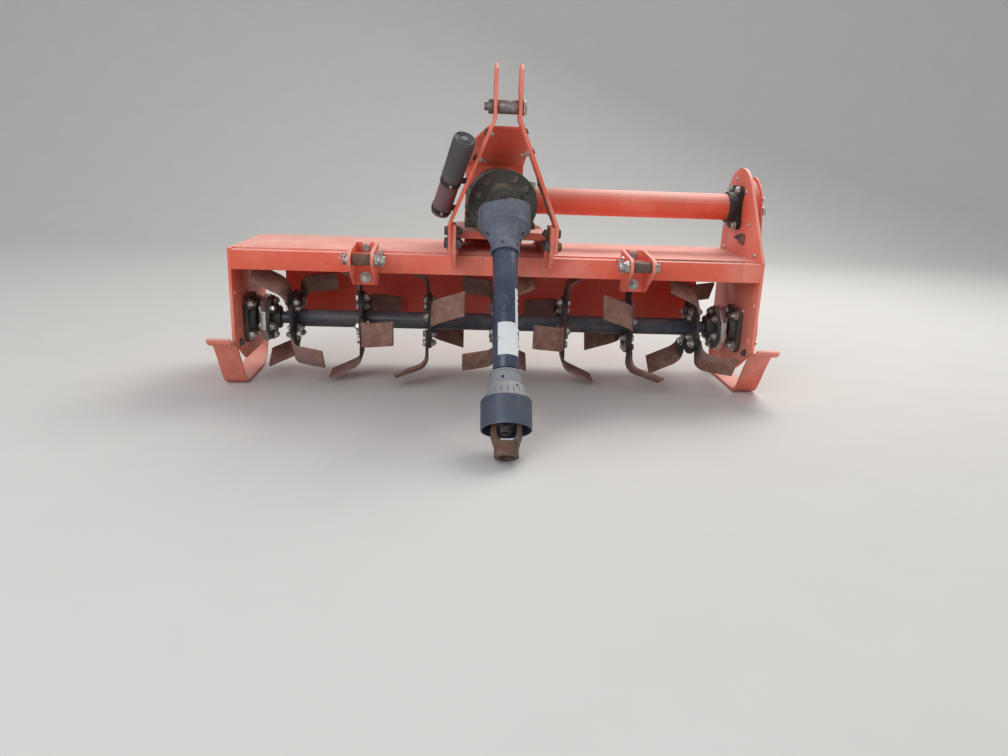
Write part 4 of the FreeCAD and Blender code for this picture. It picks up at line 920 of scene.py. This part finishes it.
def lower_guard():
    """The guard of the lower joint: a ribbed collar, a smooth cup, and the collar's four catches."""
    collar = Piece("lower_bell_collar", "driveline_end", COLLAR, "guard_plastic")
    outer = in_metres([
        (36.4, 440), (37, 440.6), (37, 442.4), (36.2, 443.4), (34.6, 444), (34.2, 446), (34, 456), (34, 470),
        (32.8, 471), (32.8, 471.8), (39.8, 472.2), (40.8, 474), (42.3, 478.5), (44, 482.7), (45.5, 487.2),
        (47, 492), (48.6, 497), (50, 501.5), (52.4, 503), (52.8, 505.4), (52, 507)])
    shell(collar, outer, 0.0052, 360, None, lower_grooves)
    item = collar.done()
    cup = Piece("lower_bell_cup", "driveline_end", CUP, "guard_plastic")
    outer = in_metres([
        (50.6, 503.4), (51.6, 504.5), (56, 506.7), (56.8, 508.4), (57, 511), (57, 524), (57, 540), (57, 556),
        (57, 566), (57, 571), (56.6, 573.8)])
    shell(cup, outer, 0.0028, 96)
    cup_item = cup.done()
    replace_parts(item, "lower_bell")
    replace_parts(cup_item, "lower_bell")
    marks = Piece("lower_collar_marks", "driveline_end", DARK, "dark_steel")
    for turn, h, r in ((60, 0.4815, 0.0432), (240, 0.4815, 0.0432), (106, 0.4595, 0.0338),
                       (286, 0.4595, 0.0338)):
        marks.lathe([(0, -0.004), (0.0036, -0.004), (0.0036, 0.0008), (0.0028, 0.0014), (0.0012, 0.0010),
                     (0, 0.0004)], on_shaft(turn, r, h, -0.3), 14)
    marks.done()


def tube_label():
    """A blank sticker round part of the outer tube, its edge torn, and the strip left above it."""
    piece = Piece("tube_label", "driveline", LABEL, "guard_tube")
    where = along(0)
    steps = 26
    count = 14
    for start, end, low, high, ragged in ((0.3250, 0.4050, 33, 130, 1.0), (0.2350, 0.3240, 34, 46, 0.5)):
        layers = []
        for lift, curl in ((0.0303, 0.0026), (0.0300, 0.0025)):
            rings = []
            for k in range(steps + 1):
                h = start + (end - start) * k / steps
                left = low - 7 * ragged * (0.4 + wave(2.0, h * 160, 0.5) + 0.5 * wave(5.0, h * 520, 0))
                right = high + 0.6 * wave(9.0, h * 90, 2)
                ring = []
                for i in range(count + 1):
                    a = math.radians(left + (right - left) * i / count)
                    peel = curl * max(0.0, 1 - i / 2.2) * max(0.1, 0.5 + 1.2 * wave(h * 130, 1, 1))
                    ring.append(piece.vertex(where, lift + peel, a, h))
                rings.append(ring)
            layers.append(rings)
        piece.sheet(*layers)
    piece.done()


def cross_caps():
    """Bearing caps with their snap rings on both crosses, and a grease nipple on each."""
    for name, body, distance in (("upper_cross_caps", "upper_cross", 0.0),
                                 ("lower_cross_caps", "lower_cross", LOWER_JOINT)):
        piece = Piece(name, body, DARK, "dark_steel")
        base = along(distance)
        turn = base.to_3x3()
        for direction in (X, -X, Y, -Y):
            piece.lathe([(0, -0.002), (0.0096, -0.002), (0.0096, 0.0004), (0.0082, 0.0008), (0.0070, 0.0002),
                         (0.0030, 0.0002), (0, 0.0006)],
                        at(base @ (direction * 0.0328), (turn @ direction).normalized()), 24)
        nipple = at(base @ Vector((0.008, 0.008, 0.012)), (turn @ Vector((0.3, 0.3, 1))).normalized())
        piece.lathe([(0, -0.002), (0.0036, -0.002), (0.0036, 0.003), (0.0022, 0.004), (0.0018, 0.006),
                     (0.0028, 0.0075), (0.0022, 0.0095), (0.0010, 0.010), (0, 0.010)], nipple, 14)
        piece.done()


# Canister for the papers

def canister():
    """The tube for the papers with its lid, and the four screws of its brackets."""
    foot = spot(-0.160, 0.014, 0.109)
    lean = Vector((0.059, -0.122, 0.181)).normalized()
    where = at(foot, lean)
    body = Piece("canister_tube", "root", CANISTER, "canister_plastic")
    body.lathe([(0, 0.0015), (0.018, 0.0010), (0.0225, 0), (0.0242, 0.0012), (0.0245, 0.004), (0.0245, 0.112),
                (0.0254, 0.1135), (0.0254, 0.1165), (0, 0.1165)], where, 56)
    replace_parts(body.done(0.0003), "manual_canister")
    cap = Piece("canister_lid", "root", CAP, "cap_plastic")
    cap.lathe([(0, 0.1160), (0.0271, 0.1160), (0.0275, 0.1168), (0.0275, 0.1195), (0.0268, 0.1205),
               (0.0268, 0.145), (0.0271, 0.160), (0.0275, 0.176), (0.0275, 0.214), (0.0271, 0.222),
               (0.0262, 0.2262), (0.0244, 0.2275), (0.0224, 0.2268), (0.0216, 0.2240), (0.0180, 0.2236),
               (0.0172, 0.2262), (0.0156, 0.2264), (0.0148, 0.2236), (0.0110, 0.2232), (0.0102, 0.2256),
               (0.0088, 0.2266), (0, 0.2262)], where, 56)
    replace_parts(cap.done(0.0003), "canister_cap")
    screws = Piece("canister_screws", "root", ZINC, "zinc_steel")
    out = lean.cross(X).normalized()
    for height in (0.016, 0.102):
        for side in SIDES:
            place = foot + lean * height + out * side * 0.0265
            bolt(screws, place, out * side, 0.0042, 0.0, 15 * side, washer=False)
    screws.done()


# Seams and welds

def weld(piece, side, places, radius, seed):
    """A run of weld bead along corners: a rippled rod half sunk in the joint. places are as for spot,
    mirrored by side."""
    points = [spot(side * x, back, up) for x, back, up in places]
    path = []
    for a, b in zip(points, points[1:]):
        count = max(2, int((b - a).length / 0.0032))
        path += [a.lerp(b, i / count) for i in range(count)]
    path.append(points[-1])
    sizes = []
    for i, p in enumerate(path):
        uneven = 0.16 * math.sin(i * 1.9) + 0.30 * noise.noise(p * 55 + Vector((seed, 0, 0)))
        sizes.append(radius * (1 + uneven))
    sizes[0] *= 0.5
    sizes[-1] *= 0.5
    piece.sweep(path, sizes, 7)


def welds():
    """Beads at the lugs, clevises, side plates and bridge, and along the hood's front edge on the left."""
    piece = Piece("weld_beads", "root", ORANGE, "orange_paint")
    for side in SIDES:
        for x in (LUG_IN, 0.130):
            weld(piece, side, [(x, 0, -0.022), (x, 0, 0)], 0.0024, x)
        for x in (CLEVIS_IN, 0.326, 0.374, CLEVIS_OUT):
            weld(piece, side, [(x, 0, -0.078), (x, 0, -0.052)], 0.0018, x)
            weld(piece, side, [(x, 0, -0.050), (x, 0, 0), (x, 0.020, 0)], 0.0020, x)
        for x, start, end, radius in ((SIDE_IN, (0.001, -0.050), (0.048, -0.050), 0.0024),
                                      (SIDE_IN, (0.050, -0.001), (0.346, -0.001), 0.0026),
                                      (SIDE_IN + 0.0005, (0.352, -0.226), (0.352, -0.262), 0.0026),
                                      (SIDE_OUT + 0.0005, (0.352, -0.190), (0.352, -0.250), 0.0026),
                                      (SIDE_OUT + 0.0005, (0.002, -0.243), (0.050, -0.270), 0.0022),
                                      (LUG_IN, (0.001, 0.004), (0.001, 0.026), 0.0022)):
            weld(piece, side, [(x, *start), (x, *end)], radius, side)
    for side in SIDES:
        for x in (0.112, LUG_IN):
            weld(piece, side, [(x, 0.032, 0.0045), (x, 0.316, 0.0045)], 0.0022, side * x)
    weld(piece, 1, [(0.674, 0.216, 0.073), (0.674, 0.256, 0.073)], 0.0012, 6)
    weld(piece, 1, [(-0.690, 0.0295, 0.001), (-0.130, 0.0295, 0.001)], 0.0015, 7)
    piece.done()


def hood_seam():
    """A dark, uneven rod along the hood's front edge on the right, where the hood is lifted a little off the
    bar.
    """
    seam = Piece("hood_seam", "root", SOIL, "orange_paint")
    path = []
    sizes = []
    steps = 149
    for i in range(steps + 1):
        x = 0.392 + 0.262 * i / steps
        path.append(spot(x, 0.0270 + 0.0060 * wave(x * 34, 0, 0), 0.0006 + 0.0012 * wave(x * 60, 3, 0)))
        sizes.append(0.0021 * (1 + 0.8 * wave(x * 70, 7, 0)))
    seam.sweep(path, sizes, 7)
    seam.done()


def plate_studs():
    """Studs inside the side plates, the left bearing's cap, and the plug and bolt by the chain."""
    studs = Piece("plate_studs", "root", ORANGE, "orange_paint")
    for side, places in ((-1, ((0.014, -0.114, 0.005), (0.044, -0.221, 0.010), (0.200, -0.060, 0.004))),
                         (1, ((0.016, -0.115, 0.006), (0.031, -0.217, 0.010), (0.091, -0.143, 0.004)))):
        for y, z, r in places:
            studs.lathe([(0, -0.001), (r, -0.001), (r, 0.002), (r * 0.8, 0.0042), (r * 0.4, 0.0055),
                         (0, 0.0058)], at(spot(side * SIDE_IN, y, z), -X * side), 20)
    studs.lathe([(0, -0.002), (0.036, -0.002), (0.036, 0.002), (0.031, 0.004), (0.030, 0.012), (0.027, 0.015),
                 (0.010, 0.017), (0, 0.017)], at((-SIDE_OUT, ROTOR.y, ROTOR.z), -X), 40)
    studs.done()
    plug = Piece("tension_plug", "root", WEATHERED, "dark_steel")
    plug.prism([(-0.016, -0.014), (0.016, -0.014), (0.016, 0.014), (-0.016, 0.014)], -0.001, 0.007,
               at(spot(SIDE_IN, 0.165, 0.050), -X), 0.0015)
    bolt(plug, spot(SIDE_IN, 0.196, 0.052), -X, 0.0080, 0.006, 12, nut=True)
    plug.done()


def mud_crust():
    """Dried mud on the inner side of the right mast plate, thick in the middle and ragged at its rim."""
    piece = Piece("mast_mud", "root", SOIL, "orange_paint")
    columns, rows = 26, 44
    top, back = [], []
    for j in range(rows + 1):
        line, under = [], []
        for i in range(columns + 1):
            u, v = i / columns, j / rows
            place, axis = mast_point(1, -0.058 + 0.066 * u, 0.094 + 0.118 * v, False)
            rim = min(u, 1 - u, v, 1 - v) * 5
            lump = noise.noise(place * 38) + 0.5 * noise.noise(place * 95) + 0.25 * noise.noise(place * 210)
            height = max(-0.0012, 0.0052 * (min(1.0, rim) - 0.55 + 0.75 * lump))
            line.append(piece.bm.verts.new(place + axis * height))
            under.append(piece.bm.verts.new(place - axis * 0.0022))
        top.append(line)
        back.append(under)
    piece.sheet(top, back)
    piece.done()


frame_bolts()
bearing_bolts()
rear_fittings()
gearbox_details()
hitch_details()
mud_crust()
rotor_bolts()
rotor_ends()
upper_guard()
lower_guard()
tube_label()
cross_caps()
canister()
welds()
hood_seam()
plate_studs()


bpy.context.scene.view_settings.view_transform = "Standard"
